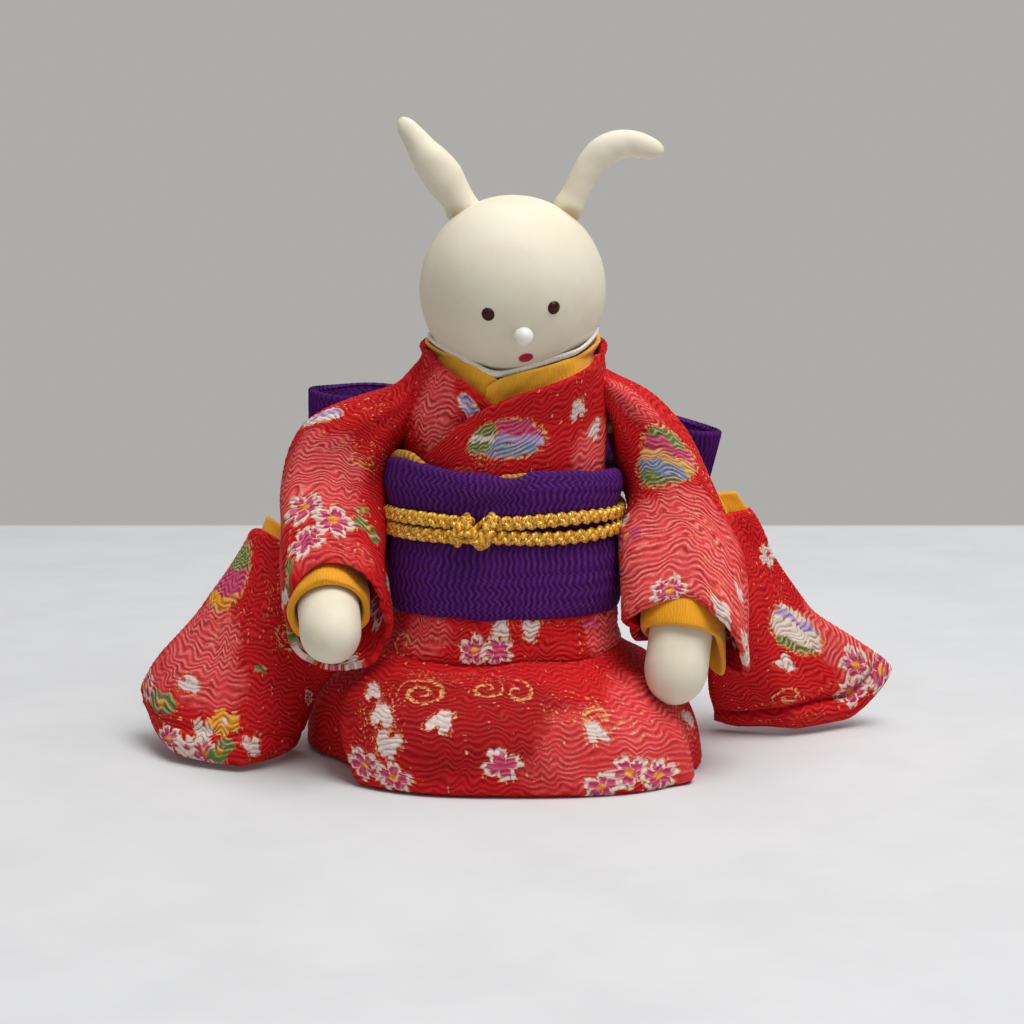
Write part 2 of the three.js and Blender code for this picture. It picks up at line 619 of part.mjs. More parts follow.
function addArm(name, side, steps, tail) {
  const curve = armCurve(side, steps);
  const inches = 1 / curve.getLength();
  const cuffFrom = MOUTH - (CUFF_LENGTH - CUFF_SHOW) * inches;
  const cuffTo = MOUTH + CUFF_SHOW * inches;
  const rodFrom = V(0, SHOULDER_Y, SHOULDER_Z);
  const rodHole = bar(rodFrom, rodEnd(side).add(V(side * GAP, 0, 0)), ROD_RADIUS + GAP, 16);
  const armStations = [-0.06, -0.04, 0, ...spread(0.12, 0.84, 6), 0.9, 0.94, 0.97, 0.99, 1];
  add(`${name}_arm`, cut(limb(curve, armStations, armRadius), rodHole), IVORY);

  const around = (extra) => (t) => armSize(t) + extra;
  const cuffIn = limb(curve, spread(cuffFrom - 0.05, cuffTo + 0.05, 3), around(GAP));
  const cuff = limb(curve, spread(cuffFrom, cuffTo, 3), around(GAP + CUFF_THICK));
  add(`${name}_cuff`, cut(cuff, cuffIn), YELLOW_CLOTH);

  const mouth = HAND_RADIUS + CUFF_THICK + 2 * GAP + SLEEVE_WALL;
  const halfSide = graph([[-0.11, 2.6], [-0.09, 4], [-0.04, 5.2], [0.1, 6], [0.35, 6.5], [MOUTH, mouth]]);
  const halfDepth = graph([[-0.11, 2], [-0.09, 3.6], [0, 4.9], [0.3, 6], [MOUTH, mouth]]);
  const tube = limb(curve, [-0.11, -0.09, -0.04, ...spread(0, MOUTH, 7)], halfSide, halfDepth);
  const bore = limb(curve, [-0.07, ...spread(-0.04, MOUTH + 0.05, 7)], around(GAP));
  const cuffStations = spread(cuffFrom - GAP * inches, MOUTH + 0.1, 3);
  const cuffBore = limb(curve, cuffStations, around(2 * GAP + CUFF_THICK));
  const slab = tailSlab(tail, [0, 1], [0, 1], TAIL_THICK, 9, 6);
  const slot = tailSlab(tail, [-0.05, 0.25], [-0.1, 0.1], LINING_THICK + 2 * GAP, 3, 2);
  add(`${name}_sleeve`, cut(join(tube, slab), bore, cuffBore, rodHole, slot), RED_CREPE);
  const lining = tailSlab(tail, [0.01, 0.22], [-0.06, 0.08], LINING_THICK, 3, 2);
  add(`${name}_sleeve_lining`, lining, YELLOW_CLOTH);
}

// Direction on the head, by turn from the face and drop below its equator
function headPoint(turn, drop, reach) {
  const point = V(Math.sin(degToRad(turn)) * Math.cos(degToRad(drop)),
    -Math.cos(degToRad(turn)) * Math.cos(degToRad(drop)), -Math.sin(degToRad(drop)));
  point.applyAxisAngle(V(0, 0, 1), degToRad(HEAD_YAW)).applyAxisAngle(V(0, 1, 0), degToRad(-HEAD_ROLL));
  return point.multiplyScalar(reach).add(HEAD_CENTRE);
}

function addHead() {
  const eyeReach = HEAD_RADIUS - EYE_SINK;
  const eyes = [-EYE_SPREAD, EYE_SPREAD].map((turn) => headPoint(turn, EYE_DROP, eyeReach));
  const nose = headPoint(0, NOSE_DROP, HEAD_RADIUS + NOSE_RISE);
  const sockets = [...eyes.map((p) => ball(p, EYE_RADIUS + GAP)), ball(nose, NOSE_RADIUS + GAP)];
  const pegHole = bar(PEG_LOW, PEG_HIGH.clone().addScaledVector(HEAD_UP, GAP), PEG_RADIUS + GAP);
  const skull = ball(HEAD_CENTRE, HEAD_RADIUS, 32, 22);
  add('head_ball', cut(skull, pegHole, ...sockets), IVORY);
  add('left_eye', ball(eyes[0], EYE_RADIUS), DARK_BEAD);
  add('right_eye', ball(eyes[1], EYE_RADIUS), DARK_BEAD);
  add('nose_bead', ball(nose, NOSE_RADIUS), IVORY);
}

// Ears: bent rolls of clay, hollowed at the foot to sit on the ball
const LEFT_EAR = [V(-5.6, 1, 7), V(-6.8, 0.5, 10.8), V(-9, 0.5, 14.5), V(-11, 0.5, 17.1), V(-15, 1, 22.6)];
const RIGHT_EAR = [V(5.9, 1, 7), V(7.4, 0.5, 10.8), V(9.6, 0.5, 15.1), V(11.8, 0.5, 18), V(15, 0.7, 19.2),
  V(20.2, 1, 18.1)];

function addEar(name, line, thickness) {
  const curve = new THREE.CatmullRomCurve3(line.map((step) => step.clone().add(HEAD_CENTRE)));
  const radius = graph(thickness);
  const loops = spread(0, 1, 13).map((t) => {
    const along = curve.getTangentAt(t);
    const across = along.clone().cross(V(0, 1, 0)).normalize();
    const round = Math.sqrt(1 - clamp((t - 0.9) / 0.1, 0, 0.96) ** 2);
    return Array.from({ length: 14 }, (_, k) => {
      const angle = (k * 2 * Math.PI) / 14;
      return curve.getPointAt(t).addScaledVector(across, radius(t) * round * Math.cos(angle))
        .add(V(0, EAR_FLATNESS * radius(t) * round * Math.sin(angle), 0));
    });
  });
  add(name, cut(loft(loops), ball(HEAD_CENTRE, HEAD_RADIUS + GAP, 32, 22)), IVORY);
}

addBase();
addCore();
addSkirt();
addWaist();
addBodice();
addCollars();
addCord();
addBow();
addArm('left', -1, LEFT_ARM, LEFT_TAIL);
addArm('right', 1, RIGHT_ARM, RIGHT_TAIL);
addHead();
addEar('left_ear', LEFT_EAR, [[0, 1.9], [0.3, 2.15], [0.55, 2.25], [0.8, 1.6], [1, 1]]);
addEar('right_ear', RIGHT_EAR, [[0, 1.7], [0.35, 1.8], [0.6, 2.05], [0.8, 1.75], [1, 1.2]]);

export default doll;
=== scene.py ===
"""Seated rabbit doll in a crepe kimono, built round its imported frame, in metres."""

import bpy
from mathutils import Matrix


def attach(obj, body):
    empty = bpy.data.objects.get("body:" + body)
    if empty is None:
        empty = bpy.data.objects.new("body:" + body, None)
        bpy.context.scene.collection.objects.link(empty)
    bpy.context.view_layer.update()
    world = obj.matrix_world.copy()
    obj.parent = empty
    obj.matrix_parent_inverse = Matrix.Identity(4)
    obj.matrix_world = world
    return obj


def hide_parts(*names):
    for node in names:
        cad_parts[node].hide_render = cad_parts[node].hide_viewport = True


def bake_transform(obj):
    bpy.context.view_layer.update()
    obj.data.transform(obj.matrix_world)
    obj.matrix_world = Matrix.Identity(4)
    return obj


bl_info = {
    "name": "Kimono rabbit doll",
    "version": (1, 0, 0),
    "blender": (4, 5, 0),
    "location": "3D View > Sidebar > Rabbit doll",
    "description": "Builds the cloth, cord and clay of a seated rabbit doll",
    "category": "Object",
}

import math

import bpy
import numpy as np
from mathutils import Vector

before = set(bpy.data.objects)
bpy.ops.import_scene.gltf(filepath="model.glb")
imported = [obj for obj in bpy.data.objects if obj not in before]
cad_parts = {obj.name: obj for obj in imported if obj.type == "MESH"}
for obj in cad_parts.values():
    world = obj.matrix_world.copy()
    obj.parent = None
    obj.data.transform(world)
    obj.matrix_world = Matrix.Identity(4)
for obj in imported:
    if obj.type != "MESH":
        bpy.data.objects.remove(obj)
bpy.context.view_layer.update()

MM = 0.001
FULL = 360.0
TAU = 2 * math.pi

# Sizes shared with the solids, in millimetres
CORE_SIDE, CORE_DEPTH = 11.0, 8.3
BODICE_MID = 2.4
HEM_Z, SKIRT_TOP = 0.6, 20.3
HEM_LEFT, HEM_RIGHT, HEM_FRONT, HEM_BACK = 28.2, 26.4, 23.6, 18.5
OBI_BOTTOM, OBI_TOP, OBI_INNER, OBI_OUTER = 21.3, 40.5, 3.3, 4.9
CORD_Z, CORD_OUT = 33.2, 5.05
BUST_Z, BUST_SIDE, BUST_DEPTH, CHEST_Z = 47.0, 14.0, 10.7, 50.0
HEAD_CENTRE, HEAD_RADIUS = np.array([1.4, -1.0, 63.85]), 12.5
HEAD_ROLL, HEAD_YAW = 5.4, 4.3
NECK_RADIUS = 13.9
HAND_RADIUS = 4.4
SHOULDER = {-1: np.array([-20.6, 1.0, 45.0]), 1: np.array([20.6, 1.0, 45.0])}
ARM_STEPS = {
    -1: [(0, 0, 0), (-2, -1.2, -5), (-3.4, -4.5, -12), (-2.8, -9.8, -20), (-1.2, -22.4, -26.4)],
    1: [(0, 0, 0), (2, -1, -6), (4.2, -4, -14), (3.8, -9, -22), (1.8, -16, -34.8)],
}
CUFF_MIDDLE = 0.68
SIDE_NAME = {-1: "left", 1: "right"}


def srgb(red, green, blue):
    """Linear colour of a screen colour given from 0 to 255."""
    def linear(level):
        level /= 255
        return level / 12.92 if level <= 0.04045 else ((level + 0.055) / 1.055) ** 2.4
    return linear(red), linear(green), linear(blue)


def opaque(*screen):
    return (*srgb(*screen), 1)


def size_value(label, hint, size_mm):
    return bpy.props.FloatProperty(name=label, description=hint, default=size_mm * MM, unit="LENGTH")


def colour_value(label, hint, *screen):
    return bpy.props.FloatVectorProperty(
        name=label, description=hint, subtype="COLOR", size=3, min=0, max=1, default=srgb(*screen))


class RabbitSizes(bpy.types.PropertyGroup):
    """Sizes of the cloth and the cord"""
    cloth: size_value("Cloth", "Thickness of the kimono crepe", 0.8)
    lining: size_value("Lining", "Thickness of the yellow and white cloth", 0.5)
    crinkle: size_value("Crinkle", "Distance between ridges of the kimono crepe", 0.8)
    crinkle_height: size_value("Crinkle height", "Lift of a ridge of the kimono crepe", 0.1)
    rib: size_value("Rib", "Distance between ridges of the sash crepe", 0.9)
    rib_height: size_value("Rib height", "Lift of a ridge of the sash crepe", 0.125)
    strand: size_value("Strand", "Radius of one strand of the braid", 0.5)
    plait: size_value("Plait", "Length over which the braid repeats", 4.4)


class RabbitColours(bpy.types.PropertyGroup):
    """Colours of the cloth, the cord and the clay"""
    red: colour_value("Red", "Ground of the kimono", 200, 12, 20)
    coral: colour_value("Coral", "Paler clouds of the ground", 228, 78, 78)
    # Crimson is no dye of the kimono: it is painted shade over the skirt's front, below the sash.
    shade_crimson: colour_value("Crimson", "Deeper clouds of the ground", 158, 6, 12)
    purple: colour_value("Purple", "Sash and bow", 72, 12, 100)
    yellow: colour_value("Yellow", "Cuffs, lining and hearts of blossoms", 232, 158, 8)
    white: colour_value("White", "Printed petals", 226, 214, 198)
    gold: colour_value("Gold", "Cord", 240, 184, 62)
    gilt: colour_value("Gilt", "Printed outlines", 214, 164, 84)
    pink: colour_value("Pink", "Blossom", 200, 62, 104)
    green: colour_value("Green", "Leaves", 104, 130, 62)
    blue: colour_value("Blue", "Striped leaves", 112, 140, 170)
    lavender: colour_value("Lavender", "Striped leaves", 166, 150, 204)
    ivory: colour_value("Ivory", "Head, ears and hands", 226, 219, 198)
    eye: colour_value("Eye", "Beads of the eyes", 46, 10, 8)
    mouth: colour_value("Mouth", "Painted mouth", 178, 34, 66)


def size_mm(name):
    return getattr(bpy.context.scene.rabbit_sizes, name) / MM


def colour(name):
    return (*getattr(bpy.context.scene.rabbit_colours, name), 1.0)


# Curves and fields

def curve_through(points):
    """Smooth height over (position, value) pairs that stays between them, level past both ends."""
    xs, ys = np.array(points, float).T
    rates = np.diff(ys) / np.diff(xs)
    before, after = np.append(rates[0], rates), np.append(rates, rates[-1])
    both = before + after
    slopes = np.where(before * after > 0, 2 * before * after / np.where(both, both, 1), 0)

    def height(x):
        x = np.clip(x, xs[0], xs[-1])
        i = np.clip(np.searchsorted(xs, x, side="right") - 1, 0, len(xs) - 2)
        span = xs[i + 1] - xs[i]
        t = (x - xs[i]) / span
        ends = ys[i] * (1 + 2 * t) * (1 - t) ** 2 + ys[i + 1] * t * t * (3 - 2 * t)
        return ends + span * t * (1 - t) * ((1 - t) * slopes[i] - t * slopes[i + 1])
    return height


def unit(x):
    return np.clip(x, 0, 1)


def signed_power(x, power):
    return np.sign(x) * np.abs(x) ** power


def normed(vectors):
    return vectors / np.linalg.norm(vectors, axis=-1, keepdims=True)


def smooth_step(x, low, high):
    t = unit((x - low) / (high - low))
    return t * t * (3 - 2 * t)


def bump(x, middle, width):
    return np.exp(-(((x - middle) / width) ** 2))


def wander(a, b, pitch, seed):
    """Smooth uneven field between about -1 and 1, with swells about one pitch apart."""
    total = 0
    for k in range(1, 6):
        turn = 2.4 * k + seed
        wave = (a * math.cos(turn) + b * math.sin(turn)) / (pitch * (0.6 + 0.2 * k))
        total = total + np.sin(TAU * wave + 1.7 * k * seed)
    return total / 2.5


def crinkle(across, along, seed):
    """Count of crepe ridges crossed, where the ridges waver along their length, in millimetres."""
    zigzag = 0.34 * np.sin(TAU * along / 2.7 + 2.4 * wander(along, across, 9, seed))
    return (across + zigzag * (1 + 0.5 * wander(along, across, 6, seed + 1))
            + 0.3 * wander(along, across, 4, seed + 2)) / size_mm("crinkle")


def ridge(count):
    return 0.5 + 0.5 * np.cos(TAU * count)


def oval(turn, left, right, front, back, power=2.4):
    """Point of an oval whose front and back, left and right are set apart; turn 0 is the front."""
    angle = np.radians(turn)
    across, along = np.sin(angle), np.cos(angle)
    side = np.where(across < 0, left, right)
    depth = np.where(along > 0, front, back)
    reach = ((np.abs(across) / side) ** power + (np.abs(along) / depth) ** power) ** (-1 / power)
    return reach * across, -reach * along


def smooth_line(points):
    """Place and direction along a smooth line through the points, by share of its length."""
    pts = np.array(points, float)
    pts = np.vstack([2 * pts[0] - pts[1], pts, 2 * pts[-1] - pts[-2]])
    run = []
    for p0, p1, p2, p3 in zip(pts, pts[1:], pts[2:], pts[3:]):
        k1, k2, k3 = np.cumsum([math.sqrt(np.linalg.norm(step)) for step in (p1 - p0, p2 - p1, p3 - p2)])
        t = np.linspace(k1, k2, 60)[:, None]
        a1 = p0 + (p1 - p0) * t / k1
        a2 = p1 + (p2 - p1) * (t - k1) / (k2 - k1)
        a3 = p2 + (p3 - p2) * (t - k2) / (k3 - k2)
        b1 = a1 + (a2 - a1) * t / k2
        b2 = a2 + (a3 - a2) * (t - k1) / (k3 - k1)
        run.append((b1 + (b2 - b1) * (t - k1) / (k2 - k1))[(1 if run else 0):])
    run = np.vstack(run)
    length = np.concatenate([[0], np.cumsum(np.linalg.norm(np.diff(run, axis=0), axis=1))])
    share, total = length / length[-1], length[-1]
    heading = normed(np.gradient(run, length, axis=0))

    def at(t):
        inside = unit(t)
        along = normed(np.stack([np.interp(inside, share, heading[:, k]) for k in range(3)], -1))
        place = np.stack([np.interp(inside, share, run[:, k]) for k in range(3)], -1)
        return place + along * ((t - inside) * total)[..., None], along
    return at, total


# Making and joining meshes

def pick(*pieces):
    """Selects these pieces alone, with the first one active."""
    bpy.ops.object.select_all(action="DESELECT")
    for piece in pieces:
        piece.select_set(True)
    bpy.context.view_layer.objects.active = pieces[0]


def named(piece, name):
    piece.name = piece.data.name = name
    return piece


def meet(values, u, v, ring, roll, whole=False):
    """Spreads the step between two edges that meet over the cloth; whole steps may stay."""
    if ring:
        step = values[:, -1:] - values[:, :1]
        values = values - (step - np.rint(step) * whole) * u
    if roll:
        step = values[-1:] - values[:1]
        values = values - (step - np.rint(step[:, :1]) * whole) * v
    return values


def surface_normals(place, ring, roll):
    du, dv = np.gradient(place, axis=1), np.gradient(place, axis=0)
    if ring:
        du[:, 0] = du[:, -1] = place[:, 1] - place[:, -2]
    if roll:
        dv[0] = dv[-1] = place[1] - place[-2]
    normal = np.cross(du, dv)
    return normal / np.maximum(np.linalg.norm(normal, axis=-1, keepdims=True), 1e-12)


def weave(name, columns, rows, surface, lift=None, count=None, ring=False, roll=False):
    """Cloth from a flat grid: surface places each point, lift raises it, count numbers its ridges.

    A ring meets itself along the grid's columns, a roll along its rows."""
    bpy.ops.object.select_all(action="DESELECT")
    bpy.ops.mesh.primitive_grid_add(x_subdivisions=columns, y_subdivisions=rows, size=1)
    piece = named(bpy.context.object, name)
    mesh = piece.data
    flat = np.empty(3 * len(mesh.vertices))
    mesh.vertices.foreach_get("co", flat)
    i = np.rint((flat[0::3] + 0.5) * columns).astype(int)
    j = np.rint((flat[1::3] + 0.5) * rows).astype(int)
    u, v = np.meshgrid(np.linspace(0, 1, columns + 1), np.linspace(0, 1, rows + 1))
    place = np.stack(np.broadcast_arrays(*surface(u, v)), -1).astype(float)
    place = meet(place, u[..., None], v[..., None], ring, roll)
    wide = np.linalg.norm(np.diff(place, axis=1), axis=-1).sum(1).mean()
    tall = np.linalg.norm(np.diff(place, axis=0), axis=-1).sum(0).mean()
    piece["cloth_mm"] = [float(wide), float(tall)]
    phase = np.zeros_like(u)
    if count is not None:
        phase = meet(count(u * wide, v * tall), u, v, ring, roll, whole=True)
    if lift is not None:
        rise = meet(lift(u, v, phase), u, v, ring, roll)
        place += surface_normals(place, ring, roll) * rise[..., None]
    mesh.vertices.foreach_set("co", (place[j, i] * MM).ravel())
    grain = mesh.attributes.new("grain", "FLOAT", "POINT")
    grain.data.foreach_set("value", phase[j, i].astype(np.float32))
    mesh.update()
    return piece


def apply_modifier(piece, kind, **settings):
    pick(piece)
    made = piece.modifiers.new(kind.title(), kind)
    for key, value in settings.items():
        setattr(made, key, value)
    bpy.ops.object.modifier_apply(modifier=made.name)


def smooth(piece, angle=60):
    pick(piece)
    bpy.ops.object.shade_smooth_by_angle(angle=math.radians(angle))


def settle(piece):
    """Puts a piece's place, turn and scale into its mesh."""
    pick(piece)
    bpy.ops.object.transform_apply(location=True, rotation=True, scale=True)


def weld(piece, gap=0.01, cap=False):
    """Joins the edges where a grid meets itself and, if asked, caps its open ends."""
    pick(piece)
    bpy.ops.object.mode_set(mode="EDIT")
    bpy.ops.mesh.select_all(action="SELECT")
    bpy.ops.mesh.remove_doubles(threshold=gap * MM)
    if cap:
        bpy.ops.mesh.fill_holes(sides=0)
    bpy.ops.object.mode_set(mode="OBJECT")


def sew(*cut, ring=False, roll=False, thick=None):
    """Woven piece, joined where it meets itself, with one of the set thicknesses laid on its inner side."""
    piece = weave(*cut, ring=ring, roll=roll)
    if ring:
        weld(piece)
    if thick:
        apply_modifier(piece, "SOLIDIFY", thickness=size_mm(thick) * MM, offset=-1, use_even_offset=True)
    smooth(piece)
    return piece


def join(pieces, name):
    pick(*pieces)
    bpy.ops.object.join()
    return named(pieces[0], name)


def declare_cloth(piece, across=1, along=1):
    """Works out the size of a cut of cloth, where one doubled across or along counts as its face, but keeps neither
    figure.
    """
    wide, tall = piece["cloth_mm"]
    wide / across * MM
    tall / along * MM


def dress(piece, body, slot, material, *nodes):
    """Sets a finished piece on its body in place of its plain solids."""
    piece.data.materials.clear()
    piece.data.materials.append(material)
    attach(piece, body)
    if nodes:
        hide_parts(*nodes)


# Shader nodes

class Wire:
    """Output of a node, which arithmetic and the methods below lead on through further nodes."""

    def __init__(self, tree, socket):
        self.tree, self.socket = tree, socket

    def math(self, operation, *others):
        return node(self.tree, "Math", dict(enumerate((self, *others))), operation=operation)[0]

    def __add__(self, other):
        return self.math("ADD", other)

    def __sub__(self, other):
        return self.math("SUBTRACT", other)

    def __mul__(self, other):
        return self.math("MULTIPLY", other)

    def rest(self):
        """What is left of one."""
        return node(self.tree, "Math", {0: 1.0, 1: self}, operation="SUBTRACT")[0]

    def wave(self):
        """Cosine that goes round once for each whole step of the value."""
        return (self * TAU).math("COSINE")

    def fade(self, low, high, first=0.0, last=1.0):
        """Smooth change from first to last while the value goes from low to high."""
        return node(self.tree, "MapRange", {
            "Value": self, "From Min": low, "From Max": high, "To Min": first, "To Max": last,
        }, interpolation_type="SMOOTHSTEP")[0]

    def noise(self, scale, detail=2.0, rough=0.5):
        return node(self.tree, "TexNoise", {
            "Vector": self, "Scale": scale, "Detail": detail, "Roughness": rough})["Fac"]

    def ragged(self, size, scale, detail=2.0, rough=0.5):
        """Noise about zero, as wide as the size."""
        return (self.noise(scale, detail, rough) - 0.5) * size

    def specks(self, scale, low, high):
        return self.noise(scale, 1.0).fade(low, high)

    def parts(self):
        return node(self.tree, "SeparateXYZ", {0: self})

    def channel(self, index):
        return node(self.tree, "SeparateColor", {0: self})[index]

    def vector(self, operation, inputs, output=0):
        return node(self.tree, "VectorMath", {0: self, **inputs}, operation=operation)[output]

    def seen_from(self, spot, size, rotation):
        """This place as seen from a spot, in units of the given size."""
        return node(self.tree, "Mapping", {
            "Vector": self, "Location": spot, "Rotation": rotation, "Scale": size}, vector_type="TEXTURE")[0]

    def over(self, first, second):
        """Colour that turns from the first to the second where this mask is one."""
        return node(self.tree, "Mix", {0: self, 6: first, 7: second}, data_type="RGBA")[2]

    def tinted(self, tint):
        return node(self.tree, "Mix", {0: 1.0, 6: self, 7: tint}, data_type="RGBA", blend_type="MULTIPLY")[2]


class Outputs:
    """Outputs of a node by name or index, each as a wire."""

    def __init__(self, tree, made):
        self.tree, self.made = tree, made

    def __getitem__(self, key):
        return Wire(self.tree, self.made.outputs[key])


def connect(tree, value, socket):
    if isinstance(value, Wire):
        tree.links.new(value.socket, socket)
    else:
        socket.default_value = value


def node(tree, kind, inputs=None, **settings):
    made = tree.nodes.new("ShaderNode" + kind)
    for key, value in settings.items():
        setattr(made, key, value)
    for key, value in (inputs or {}).items():
        connect(tree, value, made.inputs[key])
    return Outputs(tree, made)


def group(name, inputs, outputs, build):
    """Node group made once by name, from its inputs' defaults and what build returns for its outputs."""
    tree = bpy.data.node_groups.get(name)
    if tree:
        return tree
    tree = bpy.data.node_groups.new(name, "ShaderNodeTree")
    for label, default in inputs.items():
        default = colour(default) if isinstance(default, str) else default
        kind = "Float" if isinstance(default, float) else {3: "Vector", 4: "Color"}[len(default)]
        socket = tree.interface.new_socket(label, in_out="INPUT", socket_type="NodeSocket" + kind)
        socket.default_value = default
    for label in outputs:
        kind = "Color" if label == "Colour" else "Float"
        tree.interface.new_socket(label, in_out="OUTPUT", socket_type="NodeSocket" + kind)
    source, sink = tree.nodes.new("NodeGroupInput"), tree.nodes.new("NodeGroupOutput")
    for label, value in zip(outputs, build(tree, Outputs(tree, source))):
        connect(tree, value, sink.inputs[label])
    return tree


# Printed motifs: each returns its colour and its share of gold over what is printed below it

def polar(place):
    """Distance, angle and the two coordinates of a place on the cloth."""
    parts = place.parts()
    x, y = parts[0], parts[1]
    return (x * x + y * y).math("SQRT"), y.math("ARCTAN2", x), x, y


def haloed(source, filled, face, halo):
    rimmed = halo.over(source["Colour"], source["Gilt"])
    return filled.over(rimmed, face), (source["Gold"] * filled.rest()).math("MAXIMUM", halo)


def gilded(source, line):
    return line.over(source["Colour"], source["Gilt"]), source["Gold"].math("MAXIMUM", line)


def build_blossom(tree, source):
    place = source["Place"]
    far, angle, _, _ = polar(place)
    lobe = (angle * (source["Petals"] * 0.5)).math("COSINE").math("ABSOLUTE")
    rim = lobe.math("POWER", 0.6) * 0.58 + 0.42 - lobe.fade(0.93, 1.0) * 0.16
    depth = rim - far + place.ragged(0.3, 3.0)
    filled = depth.fade(-0.06, 0.06)
    face = depth.fade(0.16, 0.3).over(source["Edge"], source["Petal"])
    face = far.fade(0.3, 0.12).over(face, source["Heart"])
    return haloed(source, filled, face, depth.fade(-0.17, -0.07) * filled.rest() * place.specks(9.0, 0.53, 0.64))


BANDS = ("First", "Second", "Third", "Fourth", "Fifth")


def build_leaf(tree, source):
    place = source["Place"]
    far, _, x, y = polar(place)
    ragged = place.ragged(0.5, 3.5)
    depth = far.rest() + ragged
    height = y + (x * 7.0).math("SINE") * 0.06 + ragged * 0.4
    stripes = source[BANDS[0]]
    for k, band in enumerate(BANDS[1:]):
        edge = -0.6 + 0.4 * k
        stripes = height.fade(edge - 0.06, edge + 0.06).over(stripes, source[band])
    filled = depth.fade(-0.04, 0.06)
    rim = depth.fade(-0.16, -0.05) * depth.fade(0.1, 0.0) * place.specks(9.0, 0.45, 0.58)
    face = filled.over(source["Colour"], stripes)
    return rim.over(face, source["Gilt"]), (source["Gold"] * filled.rest()).math("MAXIMUM", rim)


def build_petal(tree, source):
    place = source["Place"]
    far, _, x, y = polar(place)
    apart = x.math("ABSOLUTE")
    flank = y * -0.2 + 0.62 - apart
    notch = apart.fade(0.28, 0.0) * y.fade(0.0, -0.7, 0.0, 0.5)
    depth = flank.math("MINIMUM", far.rest() * 0.8 - notch) + place.ragged(0.4, 2.6, 3.0)
    filled = depth.fade(-0.03, 0.08)
    face = place.noise(3.5).fade(0.4, 0.7, 0.0, 0.5).over(source["Petal"], source["Shadow"])
    return haloed(source, filled, face, depth.fade(-0.22, -0.08) * filled.rest() * place.specks(6.0, 0.5, 0.6))


def build_curl(tree, source):
    far, angle, _, _ = polar(source["Place"])
    spiral = (far * source["Rounds"] - angle * (1 / TAU) + 2.0).math("FRACT")
    line = (spiral - 0.5).math("ABSOLUTE").fade(0.22, 0.08) * far.fade(1.0, 0.92) * far.fade(0.1, 0.2)
    return gilded(source, line * source["Place"].specks(8.0, 0.4, 0.5))


# Cloud of colour over the ground: the coral ones are dyed print, the skirt's crimson one is painted shade.
def build_cloud(tree, source):
    far = polar(source["Place"])[0]
    cloudy = (far + source["Place"].ragged(1.1, 2.2, 4.0, 0.65)).fade(1.1, 0.65) * source["Strength"]
    return cloudy.over(source["Colour"], source["Dye and shade"]), source["Gold"]


def build_strewn(tree, source):
    """Blossoms strewn over the stretch of cloth that no single motif marks."""
    cells = node(tree, "TexVoronoi", {"Vector": source["Place"], "Scale": 0.085, "Randomness": 0.8})
    offset = source["Place"].vector("SUBTRACT", {1: cells["Position"]})
    small = offset.vector("SCALE", {"Scale": 0.36})
    flower = lay(tree, "blossom", source["Colour"], source["Gold"], small)
    middle = cells["Position"].parts()[0]
    within = middle.math("GREATER_THAN", source["From"]) * middle.math("LESS_THAN", source["To"])
    picked = cells["Color"].channel(0).math("GREATER_THAN", 0.3) * within
    return (picked.over(source["Colour"], flower["Colour"]),
            source["Gold"].math("MAXIMUM", picked * flower["Gold"]))


def build_dust(tree, source):
    drift = polar(source["Place"])[0] + source["Place"].ragged(1.2, 2.5, 3.0)
    grains = node(tree, "TexVoronoi", {"Vector": source["Place"], "Scale": source["Grains"]})
    chosen = grains["Color"].channel(0).math("GREATER_THAN", source["Rare"])
    return gilded(source, grains["Distance"].fade(0.34, 0.2) * chosen * drift.fade(1.0, 0.6))


BLACK, WHITE = (0, 0, 0, 1), (1, 1, 1, 1)
MOTIF_INPUTS = {"Colour": BLACK, "Gold": 0.0, "Place": (0, 0, 0)}
MOTIFS = {
    "blossom": (build_blossom, {"Petals": 5.0, "Petal": "pink", "Edge": "white", "Heart": "yellow", "Gilt": "gilt"}),
    "leaf": (build_leaf, {**dict.fromkeys(BANDS, WHITE), "Gilt": "gilt"}),
    "petal": (build_petal, {"Petal": "white", "Shadow": "lavender", "Gilt": "gilt"}),
    "curl": (build_curl, {"Rounds": 2.0, "Gilt": "gilt"}),
    "cloud": (build_cloud, {"Strength": 1.0, "Dye and shade": "coral"}),
    "strewn": (build_strewn, {"From": 0.0, "To": 1.0}),
    "dust": (build_dust, {"Grains": 8.0, "Rare": 0.45, "Gilt": "gilt"}),
}


def lay(tree, kind, below, gold, place, **values):
    """Motif laid at a place on the colour and the gold below it."""
    build, inputs = MOTIFS[kind]
    made = group(f"Printed {kind}", {**MOTIF_INPUTS, **inputs}, ("Colour", "Gold"), build)
    return node(tree, "Group", {"Colour": below, "Gold": gold, "Place": place, **values}, node_tree=made)


# Finishes

# Crepe ridges: painted shade darkens the valleys and a painted highlight lightens the crests, on top of the bump.
def build_crepe(tree, source):
    place = source["Place"]
    crest = (source["Grain"] + place.ragged(source["Stray"], 0.9)).wave() * 0.5 + 0.5
    uneven = place.noise(0.6, 3.0).fade(0.3, 0.7, 0.3, 1.0)
    thread = place.noise(5.5, 3.0, 0.7)
    crest = crest * thread.fade(0.2, 0.75, 0.5, 1.0)
    valley = crest.fade(0.4, 0.0) * uneven * source["Depth"]
    pale = source["Colour"].channel(1).fade(0.0, 0.12, 0.1, 1.4)
    lit = crest.fade(0.5, 0.95) * (uneven * pale * source["Shine"])
    dark = valley.over(source["Colour"], source["Colour"].tinted(source["Shade"]))
    return lit.over(dark, source["Highlight"]), crest + thread * 0.5, crest * -0.2 + 0.86


